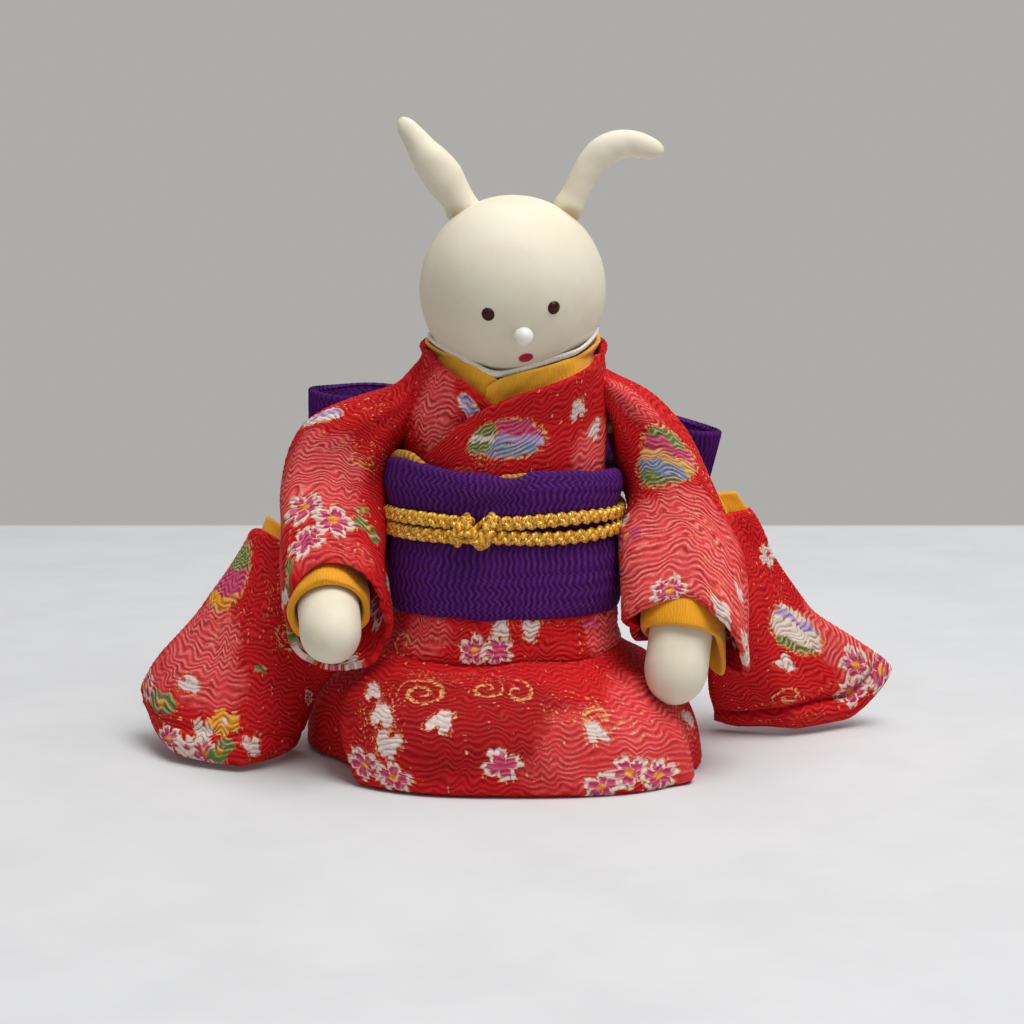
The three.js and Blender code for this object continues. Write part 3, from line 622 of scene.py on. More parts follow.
# Inputs of the crepe: a colour painted as highlight on the crests, and a tint and strength of shade painted in the
# valleys.
CREPE_INPUTS = {"Colour": BLACK, "Place": (0, 0, 0), "Grain": 0.0, "Highlight": WHITE, "Shade": (0.42, 0.3, 0.3, 1),
                "Depth": 0.8, "Shine": 0.3, "Stray": 0.9}


def new_material(name):
    material = bpy.data.materials.new(name)
    material.use_nodes = True
    return material, material.node_tree


def coat(material, height, strength, depth, inputs):
    """Sets up a material's shader, with a relief whose depth is in millimetres."""
    tree = material.node_tree
    relief = node(tree, "Bump", {"Height": height, "Strength": strength, "Distance": depth * MM})
    for key, value in {**inputs, "Normal": relief[0]}.items():
        connect(tree, value, tree.nodes["Principled BSDF"].inputs[key])
    return material


def cloth_place(tree, piece):
    """Place on the cloth in millimetres, from the piece's own map."""
    return node(tree, "Mapping", {"Vector": node(tree, "UVMap")[0], "Scale": (*piece["cloth_mm"], 1)})[0]


def object_place(tree):
    return node(tree, "TexCoord")["Object"]


def grain_of(tree):
    return node(tree, "Attribute", attribute_name="grain")["Fac"]


def crepe_finish(name, piece, ground, crest, depth, shine, stray=0.9, motifs=()):
    """Printed crepe: the motifs are laid on the ground colour, then crinkled along the grain; the crest colour is a
    painted highlight on the ridges and depth sets the painted shade in their valleys.
    """
    material, tree = new_material(name)
    place, grain = cloth_place(tree, piece), grain_of(tree)
    dyed, below, gold = place, ground, 0.0
    if motifs:
        warp = node(tree, "TexNoise", {"Vector": place, "Scale": 1.1, "Detail": 3.0})["Color"]
        warp = warp.vector("MULTIPLY_ADD", {1: (0.8, 0.8, 0), 2: (-0.4, -0.4, 0)})
        ripple = node(tree, "CombineXYZ", {1: grain.wave() * 0.14})[0]
        dyed = place.vector("ADD", {1: warp}).vector("ADD", {1: ripple})
    for kind, spot, size, turn, values in motifs:
        local = dyed.seen_from((*spot, 0), (*size, 1), (0, 0, math.radians(turn)))
        laid = lay(tree, kind, below, gold, local, **values)
        below, gold = laid["Colour"], laid["Gold"]
    cloth = node(tree, "Group", {
        "Colour": below, "Place": place, "Grain": grain, "Highlight": crest, "Depth": depth, "Shine": shine, "Stray": stray,
    }, node_tree=group("Crepe", CREPE_INPUTS, ("Colour", "Height", "Roughness"), build_crepe))
    inputs = {"Base Color": cloth["Colour"], "Roughness": cloth["Roughness"], "Specular IOR Level": 0.18}
    if motifs:
        inputs["Metallic"] = gold * 0.3
    return coat(material, cloth["Height"], 0.5, 0.12, inputs)


def near(place, spot, low, high, size=(1, 1, 1), turn=0.0):
    """Mask round a spot given in millimetres: one inside low, nothing past high."""
    local = place.seen_from(tuple(c * MM for c in spot), tuple(s * MM for s in size), (0, turn, 0))
    return local.vector("LENGTH", {}, "Value").fade(high, low)


def ivory_finish(name, stains=(), mouth=None):
    """Matte moulded clay with faint clouding, glue stains and a painted mouth."""
    material, tree = new_material(name)
    place = object_place(tree)
    cloudy = place.noise(160, 4.0, 0.6)
    shell = cloudy.fade(0.35, 0.7).over(colour("ivory"), opaque(221, 212, 189))
    for spot, low, high in stains:
        stained = near(place, spot, low, high) * cloudy.fade(0.3, 0.6, 0.1, 0.5)
        shell = stained.over(shell, opaque(178, 140, 92))
    rough = cloudy * 0.15 + 0.5
    if mouth is not None:
        spot, wide, tall, turn = mouth
        lips = near(place, spot, 0.75, 1.0, (wide, 3.0, tall), turn)
        shell = lips.over(shell, colour("mouth"))
        rough = rough - lips * 0.25
    return coat(material, place.noise(2600), 0.08, 0.1, {
        "Base Color": shell, "Roughness": rough, "Specular IOR Level": 0.35})


def fine_cloth_finish(name, piece, ground, pitch):
    """Thin plain cloth with a fine crinkle across it, darkened with painted shade between its crinkles."""
    material, tree = new_material(name)
    place = cloth_place(tree, piece)
    bands = node(tree, "TexWave", {"Vector": place, "Scale": 0.314 / pitch, "Distortion": 5.0, "Detail": 2.0,
                                   "Detail Scale": 1.2})["Fac"]
    thread = place.noise(6.0)
    tint = bands.fade(0.0, 0.7, 0.8, 1.0) * thread.fade(0.2, 0.8, 0.88, 1.08)
    shadow = [level * shade for level, shade in zip(ground, (0.62, 0.5, 0.4, 1))]
    return coat(material, bands + thread * 0.6, 0.45, 0.1, {
        "Base Color": tint.over(shadow, ground), "Roughness": thread.fade(0.2, 0.8, 0.62, 0.8),
        "Specular IOR Level": 0.25, "Sheen Weight": 0.2})


def braid_finish(name):
    """Metallic thread: fine lay lines turn round each strand, with painted shade in their grooves and a painted
    highlight on their tops.
    """
    material, tree = new_material(name)
    lines = grain_of(tree).wave() * 0.5 + 0.5
    highlight_and_wear = object_place(tree).noise(900)
    # Lay-line grooves take a darker gold as painted shade; their tops, in patches, a pale gold as painted highlight.
    base = lines.fade(0.0, 0.6).over(opaque(168, 112, 26), colour("gold"))
    base = (lines.fade(0.6, 1.0) * highlight_and_wear.fade(0.4, 0.7)).over(base, opaque(255, 226, 128))
    return coat(material, lines, 0.3, 0.05, {
        "Base Color": base, "Roughness": highlight_and_wear.fade(0.3, 0.7, 0.5, 0.32), "Metallic": 0.3})


def plain_finish(name, first, second, scale, rough, stretch=(1, 1, 1), shine=0.5):
    """Two-tone finish for wood, wadding, beads and the floor."""
    material, tree = new_material(name)
    place = node(tree, "Mapping", {"Vector": object_place(tree), "Scale": stretch})[0]
    grain = place.noise(scale, 4.0, 0.6)
    return coat(material, grain, 0.15, 0.1, {
        "Base Color": grain.fade(0.35, 0.65).over(first, second),
        "Roughness": grain.fade(0.3, 0.7, rough - 0.06, rough + 0.06), "Specular IOR Level": shine})


# Forms of the body and the garment

SKIRT_DOME = curve_through([(0, 1), (0.25, 0.95), (0.43, 0.82), (0.6, 0.5), (0.7, 0.24), (0.78, 0.1), (1, 0)])
OVAL_POWER, LEFT_CORNER, RIGHT_CORNER = 2.4, 1.9, 3.4
NECK_Z, NECK_ROOM = HEAD_CENTRE[2] - HEAD_RADIUS * 0.7, 0.9


def skirt_point(turn, z, inward):
    flare = SKIRT_DOME((z - HEM_Z) / (SKIRT_TOP - HEM_Z))

    def size(waist, hem):
        return (waist + BODICE_MID) * (1 - flare) + hem * flare - inward
    corner = LEFT_CORNER + (RIGHT_CORNER - LEFT_CORNER) * (0.5 + 0.5 * np.sin(np.radians(turn)))
    return oval(turn, size(CORE_SIDE, HEM_LEFT), size(CORE_SIDE, HEM_RIGHT), size(CORE_DEPTH, HEM_FRONT),
                size(CORE_DEPTH, HEM_BACK), OVAL_POWER + (corner - OVAL_POWER) * flare)


def even_heights(low, high):
    """Heights that step evenly along the skirt's slope."""
    z = np.linspace(low, high, 200)
    x, _ = skirt_point(np.full_like(z, 90.0), z, 0.0)
    run = np.concatenate([[0], np.cumsum(np.hypot(np.diff(z), np.diff(x)))])
    return lambda share: np.interp(share, run / run[-1], z)


def bodice_point(turn, z, inward):
    rise = unit((z - BUST_Z) / (NECK_Z - BUST_Z))
    bust = unit((z - OBI_TOP) / (BUST_Z - OBI_TOP))
    below_centre = HEAD_CENTRE[2] - np.maximum(z, NECK_Z)
    neck = np.sqrt(np.maximum(NECK_RADIUS ** 2 - below_centre ** 2, 0)) + NECK_ROOM

    def size(core, chest):
        waist = core + BODICE_MID
        return (waist + (chest - waist) * bust) * (1 - rise) + neck * rise - inward
    side, depth = size(CORE_SIDE, BUST_SIDE), size(CORE_DEPTH, BUST_DEPTH)
    x, y = oval(turn, side, side, depth, depth)
    return x + HEAD_CENTRE[0] * rise, y + HEAD_CENTRE[1] * rise, z


def belt_point(turn, out, z):
    x, y = oval(turn, CORE_SIDE + out, CORE_SIDE + out, CORE_DEPTH + out, CORE_DEPTH + out)
    return np.broadcast_arrays(x, y, z)


def front_turn(turn):
    return np.mod(turn + 180, FULL) - 180


def head_direction(turn, drop):
    """Direction on the head, by turn from the face and drop below its equator, in degrees."""
    turn, drop, yaw, roll = (math.radians(a) for a in (turn, drop, HEAD_YAW, -HEAD_ROLL))
    x, y, z = math.sin(turn) * math.cos(drop), -math.cos(turn) * math.cos(drop), -math.sin(drop)
    x, y = x * math.cos(yaw) - y * math.sin(yaw), x * math.sin(yaw) + y * math.cos(yaw)
    return np.array([x * math.cos(roll) + z * math.sin(roll), y, -x * math.sin(roll) + z * math.cos(roll)])


def limb_point(at, t, angle, half_side, half_depth):
    """Point of the oval section across a limb's line."""
    centre, along = at(t)
    ahead = np.array([0, -1.0, 0])
    deep = normed(ahead - along * (along @ ahead)[..., None])
    across = np.cross(deep, along)
    place = centre + across * (half_side * np.cos(angle))[..., None] + deep * (half_depth * np.sin(angle))[..., None]
    return np.moveaxis(place, -1, 0)


def dome(x):
    """Width of a rounded end, from one where it starts to nothing at its tip."""
    return np.sqrt(1 - unit(x) ** 2)


def taper(v, first, last):
    """Width of a pouch that closes over its first and last share."""
    return np.sqrt(unit(np.minimum(v / first, (1 - v) / last)))


# Head, ears, arms and core

EYE_TURN, EYE_DROP, EYE_RADIUS, EYE_OUT = 20.4, 9.6, 1.05, -0.6
NOSE_DROP, NOSE_RADIUS, NOSE_OUT = 25.0, 1.3, 0.3
MOUTH_TURN, MOUTH_DROP, MOUTH_WIDE, MOUTH_TALL, MOUTH_TILT = 1.5, 42.3, 1.12, 0.72, -14
PEG_HOLE, PEG_DEPTH = 1.8, 18
EAR_LINES = {
    -1: [(-5.6, 1, 7), (-6.8, 0.5, 10.8), (-9, 0.5, 14.5), (-11, 0.5, 17.1), (-15, 1, 22.6)],
    1: [(5.9, 1, 7), (7.4, 0.5, 10.8), (9.6, 0.5, 15.1), (11.8, 0.5, 18), (15, 0.7, 19.2), (20.2, 1, 18.1)],
}
EAR_GIRTH = {
    -1: curve_through([(0, 1.9), (0.3, 2.2), (0.48, 2.65), (0.6, 2.45), (0.8, 1.7), (1, 1.05)]),
    1: curve_through([(0, 1.7), (0.35, 1.8), (0.6, 2.05), (0.8, 1.75), (1, 1.2)]),
}
EAR_FOOT = {-1: HEAD_CENTRE + (-7.0, -0.5, 10.35), 1: HEAD_CENTRE + (7.6, -0.5, 9.95)}
ARM_SIZE = curve_through([(0, 3.2), (0.4, 3.2), (0.55, 3.75), (0.72, HAND_RADIUS), (1, HAND_RADIUS)])
HAND_SLIM = {-1: 0.08, 1: 0.04}
CUFF_ABOVE, CUFF_BELOW, CUFF_CORNER = 4.3, 3.2, 0.45
TONGUE_OUT, TONGUE_LONG = {-1: 0, 1: 2.0}, {-1: 0, 1: 3.7}
CORE_FOOT, CORE_TALL = 2.4, 47.6
CORE_NECK = curve_through([(0.5, 1), (0.8, 1), (0.92, 0.62), (0.985, 0.12), (1.0, 0)])


def add_ball(name, centre, radius, segments, rings):
    bpy.ops.object.select_all(action="DESELECT")
    bpy.ops.mesh.primitive_uv_sphere_add(segments=segments, ring_count=rings, radius=radius * MM,
                                         location=tuple(c * MM for c in centre))
    ball = named(bpy.context.object, name)
    settle(ball)
    return ball


class RABBIT_OT_head(bpy.types.Operator):
    """Ball of the head with its bead eyes, nose and painted mouth"""
    bl_idname = "rabbit.head"
    bl_label = "Head"

    def execute(self, context):
        ball = add_ball("head", HEAD_CENTRE, HEAD_RADIUS, 96, 64)
        up = head_direction(0, -90)
        bpy.ops.mesh.primitive_cylinder_add(
            vertices=32, radius=PEG_HOLE * MM, depth=PEG_DEPTH * MM,
            location=tuple((HEAD_CENTRE - up * HEAD_RADIUS) * MM), rotation=(0, -math.radians(HEAD_ROLL), 0))
        peg_hole = bpy.context.object
        apply_modifier(ball, "BOOLEAN", object=peg_hole, operation="DIFFERENCE", solver="EXACT")
        bpy.data.objects.remove(peg_hole)
        smooth(ball, 40)
        lips = HEAD_CENTRE + head_direction(MOUTH_TURN, MOUTH_DROP) * HEAD_RADIUS
        stains = [(foot, 1.3, 2.3) for foot in EAR_FOOT.values()]
        mouth = (lips, MOUTH_WIDE, MOUTH_TALL, math.radians(MOUTH_TILT))
        dress(ball, "head", "ivory", ivory_finish("Head clay", stains, mouth), "head_ball")

        glass = plain_finish("Eye bead", colour("eye"), opaque(60, 18, 12), 700, 0.36, shine=0.2)
        clay = plain_finish("Nose clay", opaque(238, 237, 228), opaque(230, 228, 216), 300, 0.45)
        beads = [(f"{name}_eye_bead", head_direction(side * EYE_TURN, EYE_DROP) * (HEAD_RADIUS + EYE_OUT),
                  EYE_RADIUS, 32, 20, "dark_bead", glass, f"{name}_eye") for side, name in SIDE_NAME.items()]
        beads.append(("nose", head_direction(0, NOSE_DROP) * (HEAD_RADIUS + NOSE_OUT),
                      NOSE_RADIUS, 40, 24, "ivory", clay, "nose_bead"))
        for name, seat, radius, segments, rings, slot, material, replaced in beads:
            bead = add_ball(name, HEAD_CENTRE + seat, radius, segments, rings)
            smooth(bead, 180)
            dress(bead, "head", slot, material, replaced)
        return {"FINISHED"}


class RABBIT_OT_ears(bpy.types.Operator):
    """Bent clay ears, flared where they are glued on"""
    bl_idname = "rabbit.ears"
    bl_label = "Ears"

    def execute(self, context):
        for side, name in SIDE_NAME.items():
            at, _ = smooth_line([HEAD_CENTRE + np.array(p) for p in EAR_LINES[side]])

            def surface(u, v):
                angle = TAU * u
                flare = 1 + 0.16 * bump(v, 0.2, 0.05)
                reach = EAR_GIRTH[side](v) * flare * dome((v - 0.9) / 0.1) * dome((0.08 - v) / 0.08)
                pinch = 1 - 0.08 * bump(v, 0.52, 0.09) * (0.5 + 0.5 * np.sin(angle))
                uneven = 1 + 0.02 * wander(v * 20, u * 6, 5, side)
                return limb_point(at, v, angle, reach * uneven, 0.85 * reach * pinch)
            ear = sew(f"{name}_ear_clay", 40, 90, surface,
                      lambda u, v, c: 0.02 * wander(u * 11, v * 24, 3, 2.0 + side), ring=True)
            clay = ivory_finish(f"{name.title()} ear clay", [(EAR_FOOT[side], 0.9, 1.8)])
            dress(ear, "head", "ivory", clay, f"{name}_ear")
        return {"FINISHED"}


class RABBIT_OT_arms(bpy.types.Operator):
    """Arms with rounded hands, and the yellow cuffs round them"""
    bl_idname = "rabbit.arms"
    bl_label = "Arms and cuffs"

    def execute(self, context):
        for side, name in SIDE_NAME.items():
            at, length = smooth_line([SHOULDER[side] + np.array(step) for step in ARM_STEPS[side]])
            low, high = CUFF_MIDDLE - CUFF_ABOVE / length, CUFF_MIDDLE + CUFF_BELOW / length

            def arm(u, v):
                t = -0.06 + 1.06 * (1 - (1 - v) ** 1.6)
                slim = 1 - HAND_SLIM[side] * smooth_step(t, 0.55, 0.8)
                reach = ARM_SIZE(t) * slim * dome((t - 0.87) / 0.13) * dome(-t / 0.06)
                return limb_point(at, t, TAU * u, reach, reach)
            hand = sew(f"{name}_hand", 48, 120, arm,
                       lambda u, v, c: 0.03 * wander(u * 20, v * 40, 6, side + 2.0), ring=True)
            dress(hand, f"{name}_arm", "ivory", ivory_finish(f"{name.title()} hand clay"), f"{name}_arm")

            def cuff(u, v):
                turn, angle = TAU * v, TAU * u
                along = -signed_power(np.cos(turn), CUFF_CORNER)
                out = signed_power(np.sin(turn), CUFF_CORNER)
                t = (low + high) / 2 + along * (high - low) / 2
                pucker = 0.16 * wander(angle * 4.6, v * 6, 4, 5.0 + side) * (out > 0)
                tongue = unit(np.cos(angle + 0.4)) ** 10 * unit(along)
                reach = ARM_SIZE(t) + 0.6 + 0.58 * out + pucker + TONGUE_OUT[side] * tongue
                return limb_point(at, t + TONGUE_LONG[side] / length * tongue, angle, reach, reach)
            band = sew(f"{name}_cuff_band", 150, 64, cuff, ring=True, roll=True)
            cloth = fine_cloth_finish(f"{name.title()} cuff cloth", band, colour("yellow"), 0.36)
            dress(band, f"{name}_arm", "yellow_cloth", cloth, f"{name}_cuff")
        return {"FINISHED"}


class RABBIT_OT_core(bpy.types.Operator):
    """Wound wadding inside the garment, and the wooden pieces that carry it"""
    bl_idname = "rabbit.core"
    bl_label = "Core"

    def execute(self, context):
        def surface(u, v):
            z = CORE_FOOT + v * CORE_TALL
            turn = FULL * u - 180
            below = skirt_point(turn, np.minimum(z, 19.5), 4.9)
            wide, deep = (4.5 + (size - 4.7) * CORE_NECK(v) for size in (CORE_SIDE, CORE_DEPTH))
            above = oval(turn, wide, wide, deep, deep)
            blend = smooth_step(z, 12, 19)
            x, y = ((a * (1 - blend) + b * blend) * taper(v, 0.012, 0.012) for a, b in zip(below, above))
            return x, y, z
        core = sew("wadding_core", 72, 60, surface,
                   lambda u, v, c: -0.15 + 0.12 * wander(u * 60, v * 50, 6, 1.0), ring=True)
        wadding = plain_finish("Wadding", opaque(232, 227, 214), opaque(214, 206, 190), 500, 0.95)
        dress(core, "body", "wadding", wadding, "body_core")
        wood = plain_finish("Bare wood", opaque(206, 172, 122), opaque(176, 138, 88), 240, 0.65, (1, 1, 0.12))
        for name in ("base_disc", "neck_peg", "shoulder_rod"):
            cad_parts[name].material_slots[0].material = wood
        return {"FINISHED"}


# Kimono cloth and its printed motifs, placed in millimetres on each cut of cloth

# Colour and strength of the painted highlight on the kimono crepe's crests, and the strength of painted shade in the
# skirt crepe's valleys.
KIMONO_HIGHLIGHT, KIMONO_SHINE = opaque(255, 184, 176), 0.7
SKIRT_VALLEY_SHADE = 0.75


def kimono_lift(seed, folds=0.35, fold_pitch=14.0):
    """Relief of kimono cloth: slow swells with the crepe ridges on them."""
    height = size_mm("crinkle_height")
    return lambda u, v, count: folds * wander(u * 90, v * 30, fold_pitch, seed) + height * ridge(count)


def sewn(lift):
    """Relief that dies out at the two ends of a pouch, where its faces are sewn together."""
    return lambda u, v, count: lift(u, v, count) * unit(np.minimum(v, 1 - v) / 0.02)


def kimono_count(seed):
    return lambda along, across: crinkle(across, along, seed)


# depth sets how much painted shade darkens the crepe's valleys.
def kimono_finish(name, piece, motifs, depth=1.0):
    wide, tall = piece["cloth_mm"]
    glints = ("dust", (wide / 2, tall / 2), (wide, wide), 0, {"Grains": 2.3 * wide, "Rare": 0.94})
    return crepe_finish(name, piece, colour("red"), KIMONO_HIGHLIGHT, depth, KIMONO_SHINE, motifs=[*motifs, glints])


def cloud(u, v, wide, tall, strength=1.0, paint="coral"):
    return "cloud", (u, v), (wide, tall), 0, {"Strength": strength, "Dye and shade": colour(paint)}


def blossom(u, v, size, turn=0, petals=5.0, petal="pink", edge="white", heart="yellow", wide=1.0, tall=1.0):
    return "blossom", (u, v), (size * wide, size * tall), turn, {
        "Petals": petals, "Petal": colour(petal), "Edge": colour(edge), "Heart": colour(heart)}


def sprig(u, v, size, turn=0, paint="green"):
    return blossom(u, v, size, turn, 2.0, paint, paint, tall=0.7)


def petal(u, v, size, turn=0):
    return "petal", (u, v), (size * 0.9, size * 0.9), turn, {}


def leaf(u, v, wide, tall, turn, *bands):
    return "leaf", (u, v), (wide, tall), turn, {band: colour(paint) for band, paint in zip(BANDS, bands)}


def curl(u, v, size, turn=0, rounds=2.0):
    return "curl", (u, v), (size, size), turn, {"Rounds": rounds}


def dust(u, v, wide, tall, turn=0):
    return "dust", (u, v), (wide, tall), turn, {"Grains": 1.9 * max(wide, tall)}


def strewn(low, high):
    return "strewn", (0, 0), (1, 1), 0, {"From": low, "To": high}


# Skirt and waist fold

SKIRT_FROM, SKIRT_TO = 40.0, -407.0
SKIRT_UNDER = curve_through([(-120, 0), (-98, 0.5), (-75, 1.5), (-20, 1.6), (SKIRT_FROM, 1.6)])
SKIRT_HOLLOW = curve_through([(-100, 0), (-85, 0.4), (-70, 1), (-60, 1), (-45, 0.5), (-30, 0)])
WAIST_SECTION = [(3.1, 19.0), (3.1, 21.4), (4.2, 21.5), (4.5, 20.0), (4.9, 18.0), (5.3, 16.4), (5.1, 15.2),
                 (4.3, 14.9), (3.7, 15.6)]


def skirt_print():
    return [
        # The first, crimson cloud over the skirt's front is painted shade under the sash; the other clouds are print.
        strewn(50, 112), cloud(13.5, 10, 15, 8, 0.85, "shade_crimson"), cloud(27, 6.5, 7, 6, 0.5),
        cloud(35.5, 8, 6.5, 9, 0.6), cloud(22, 3, 4, 3, 0.35), cloud(75, 10, 12, 9, 0.8), cloud(98, 14, 8, 7, 0.8),
        curl(8.8, 14.2, 2.7), curl(15.2, 15.6, 2.0, 60, 1.4), curl(19.2, 15.0, 2.4, 150, 1.3),
        curl(28.6, 10.6, 2.4, 30, 1.3), dust(32.5, 8.5, 2.6, 2.6), dust(12, 17.5, 8, 1.2), dust(5, 10, 3, 6),
        dust(26, 12, 5, 3), petal(3.6, 13.2, 1.5, 20), petal(5.5, 9.9, 1.9), petal(6.0, 6.2, 2.0, 160),
        petal(11.2, 9.8, 1.8, -20), petal(27.4, 8.3, 1.8, 10), blossom(2.5, 3.0, 2.2, 30), blossom(5.6, 1.9, 2.1, 5),
        blossom(16.9, 4.2, 2.3, 20, 4.0, "pink", "white", "pink"), blossom(27.2, 1.2, 2.0, 10),
        blossom(30.0, 2.8, 2.3, 40), blossom(33.0, 1.8, 2.3, 15), petal(41.0, 7.0, 1.6, 40)]


def waist_print():
    return [
        strewn(-1, 26), strewn(66, 90), cloud(60, 8, 4, 4, 0.8), cloud(34, 9, 4, 3, 0.6), dust(33, 8.4, 7, 1.0),
        dust(50, 10.6, 8, 0.9), curl(30.5, 7.5, 1.8, 0, 1.3), dust(56, 8.5, 1.6, 2.4), petal(44.4, 10.0, 2.0),
        petal(48.7, 10.0, 1.9, 170), sprig(57.4, 10.0, 1.4, 0, "pink"), blossom(40.8, 7.2, 2.3, 10),
        blossom(44.0, 7.0, 2.4, 40, 5.0, "pink", "white", "pink")]


class RABBIT_OT_skirt(bpy.types.Operator):
    """Wrapped skirt that laps over itself at the front"""
    bl_idname = "rabbit.skirt"
    bl_label = "Skirt"

    def execute(self, context):
        height = even_heights(0.25, SKIRT_TOP)

        def surface(u, v):
            turn = SKIRT_TO + (SKIRT_FROM - SKIRT_TO) * u
            z = height(v)
            droop = unit(1 - z / SKIRT_TOP)
            inner = turn > -180
            inward = np.where(inner, SKIRT_UNDER(turn) + 3.0 * droop * SKIRT_HOLLOW(turn), 0) - 0.6
            skew = 40 * (1 - droop) ** 1.3 * unit((-FULL - turn) / 47)
            at = front_turn(turn - skew)
            pleat = bump(at, 55, 3.5) * 0.9 - bump(at, 63, 4) * 0.8
            inward = inward - np.where(inner, 0, pleat * smooth_step(z, 13, 3))
            curl_in = 0.7 * unit(1 - v / 0.03) ** 2 + 0.5 * unit(1 - u / 0.006) ** 2
            return (*skirt_point(turn - skew, z, inward + curl_in), z)
        skirt = sew("skirt", 350, 130, surface, kimono_lift(1.3, 0.3), kimono_count(1.3), thick="cloth")
        crepe = kimono_finish("Skirt crepe", skirt, skirt_print(), SKIRT_VALLEY_SHADE)
        dress(skirt, "body", "red_crepe", crepe, "kimono_skirt")
        declare_cloth(skirt)
        return {"FINISHED"}


class RABBIT_OT_waist(bpy.types.Operator):
    """Fold of the kimono that hangs below the sash"""
    bl_idname = "rabbit.waist"
    bl_label = "Waist fold"

    def execute(self, context):
        section, _ = smooth_line([(*point, 0) for point in WAIST_SECTION + WAIST_SECTION[:1]])

        def surface(u, v):
            turn = FULL * u - 180
            out, z, _ = np.moveaxis(section(1 - v)[0], -1, 0)
            low = unit((21 - z) / 6)
            z = z + low * (0.35 * np.sin(np.radians(turn * 2 + 40)) + 0.3 * wander(turn / 6, 0 * u, 9, 3.0))
            return belt_point(turn, out, z)
        fold = sew("waist_roll", 330, 64, surface, kimono_lift(2.1, 0.18, 10.0), kimono_count(2.1),
                   ring=True, roll=True)
        dress(fold, "body", "red_crepe", kimono_finish("Waist crepe", fold, waist_print()), "waist_fold")
        return {"FINISHED"}


# Sash and bodice

SASH_DEPTH = curve_through([(0, 0), (0.03, 0.75), (0.06, 1), (0.82, 1), (0.86, 0.7), (0.89, 0), (1, 0)])
SASH_RISE = curve_through([(0, 0), (0.03, 0.0), (0.06, 0.03), (0.82, 0.97), (0.86, 1.0), (0.89, 0.99), (1, 0)])
SASH_SAG = curve_through([(-180, 0), (-90, 0.6), (-60, 1.4), (-25, 0.2), (5, -0.5), (22, 0.4), (45, 0.2),
                          (75, -0.7), (120, -0.3), (180, 0)])
SCARF_SHOWN = curve_through([(-180, -0.3), (-100, -0.3), (-82, 0.1), (-66, 1.0), (-56, 0.9), (-44, -0.2),
                             (-6, -0.2), (3, 0.4), (10, 0.3), (20, -0.3), (180, -0.3)])
SCARF_HIDDEN = 0.9
BODICE_FROM, BODICE_TO, BODICE_FOOT = 26.0, -416.0, 33.0
NECKLINE = curve_through([
    (-416, -9), (-402, -6), (-390, -3.7), (-360, 0), (-330, 2.2), (-280, 5.6), (-180, 7.4), (-80, 5.4),
    (-32, 2.1), (-18, 0.1), (0, -2), (26, -5)])
FRONT_LAP = curve_through([(-100, 0), (-45, 1), (26, 1), (51, 0)])
COLLAR_FROM, COLLAR_SPAN, COLLAR_WIDE = -378, 396, 3.6
COLLAR_RISE = curve_through([(-378, 3.7), (-372, 3.7), (-360, 3.2), (-330, 2.2), (-290, 1.3), (-180, 0.8),
                             (-80, 0.8), (-30, 2.3), (-12, 3.3), (0, 3.3), (18, 3.0)])
WHITE_RISE = curve_through([(-180, 8.8), (-85, 7.4), (-45, 5.6), (-12, 3.8), (30, 5.4), (60, 7.2), (85, 8.6),
                            (180, 8.8)])


def bodice_print():
    return [
        strewn(36, 74), cloud(82, 15.4, 4, 6, 0.8), cloud(26.5, 9.4, 4.5, 4, 0.9), cloud(4, 9, 5, 4, 0.5),
        dust(13, 11.6, 7, 1.8), dust(80, 12, 4, 3),
        leaf(13.4, 14.4, 5.4, 3.0, -18, "blue", "blue", "lavender", "pink", "pink"),
        leaf(9.6, 15.9, 2.0, 2.4, -30, "green", "green", "white", "green", "green"), dust(12.5, 13.0, 5, 2.0),
        leaf(87.6, 18.0, 2.2, 1.5, -20, "lavender", "white", "lavender", "lavender", "white"),
        petal(23.0, 15.8, 1.6, 10), petal(26.3, 12.2, 1.6, -30)]


def rib_count(seed):
    """Count of the sash's upright ribs, which waver a little on their way up."""
    def count(along, across):
        sway = 0.2 * np.sin(TAU * across / 3.1 + 1.6 * wander(along, across, 17, seed))
        return (along / size_mm("rib") + sway * (1 + 0.5 * wander(along, across, 8, seed + 1))
                + 0.25 * wander(along, across, 11, seed + 2))
    return count


def obi_top(turn):
    return OBI_TOP + SASH_SAG(front_turn(turn))


def under_lap(turn):
    return np.where(turn > -180, FRONT_LAP(turn), 0)


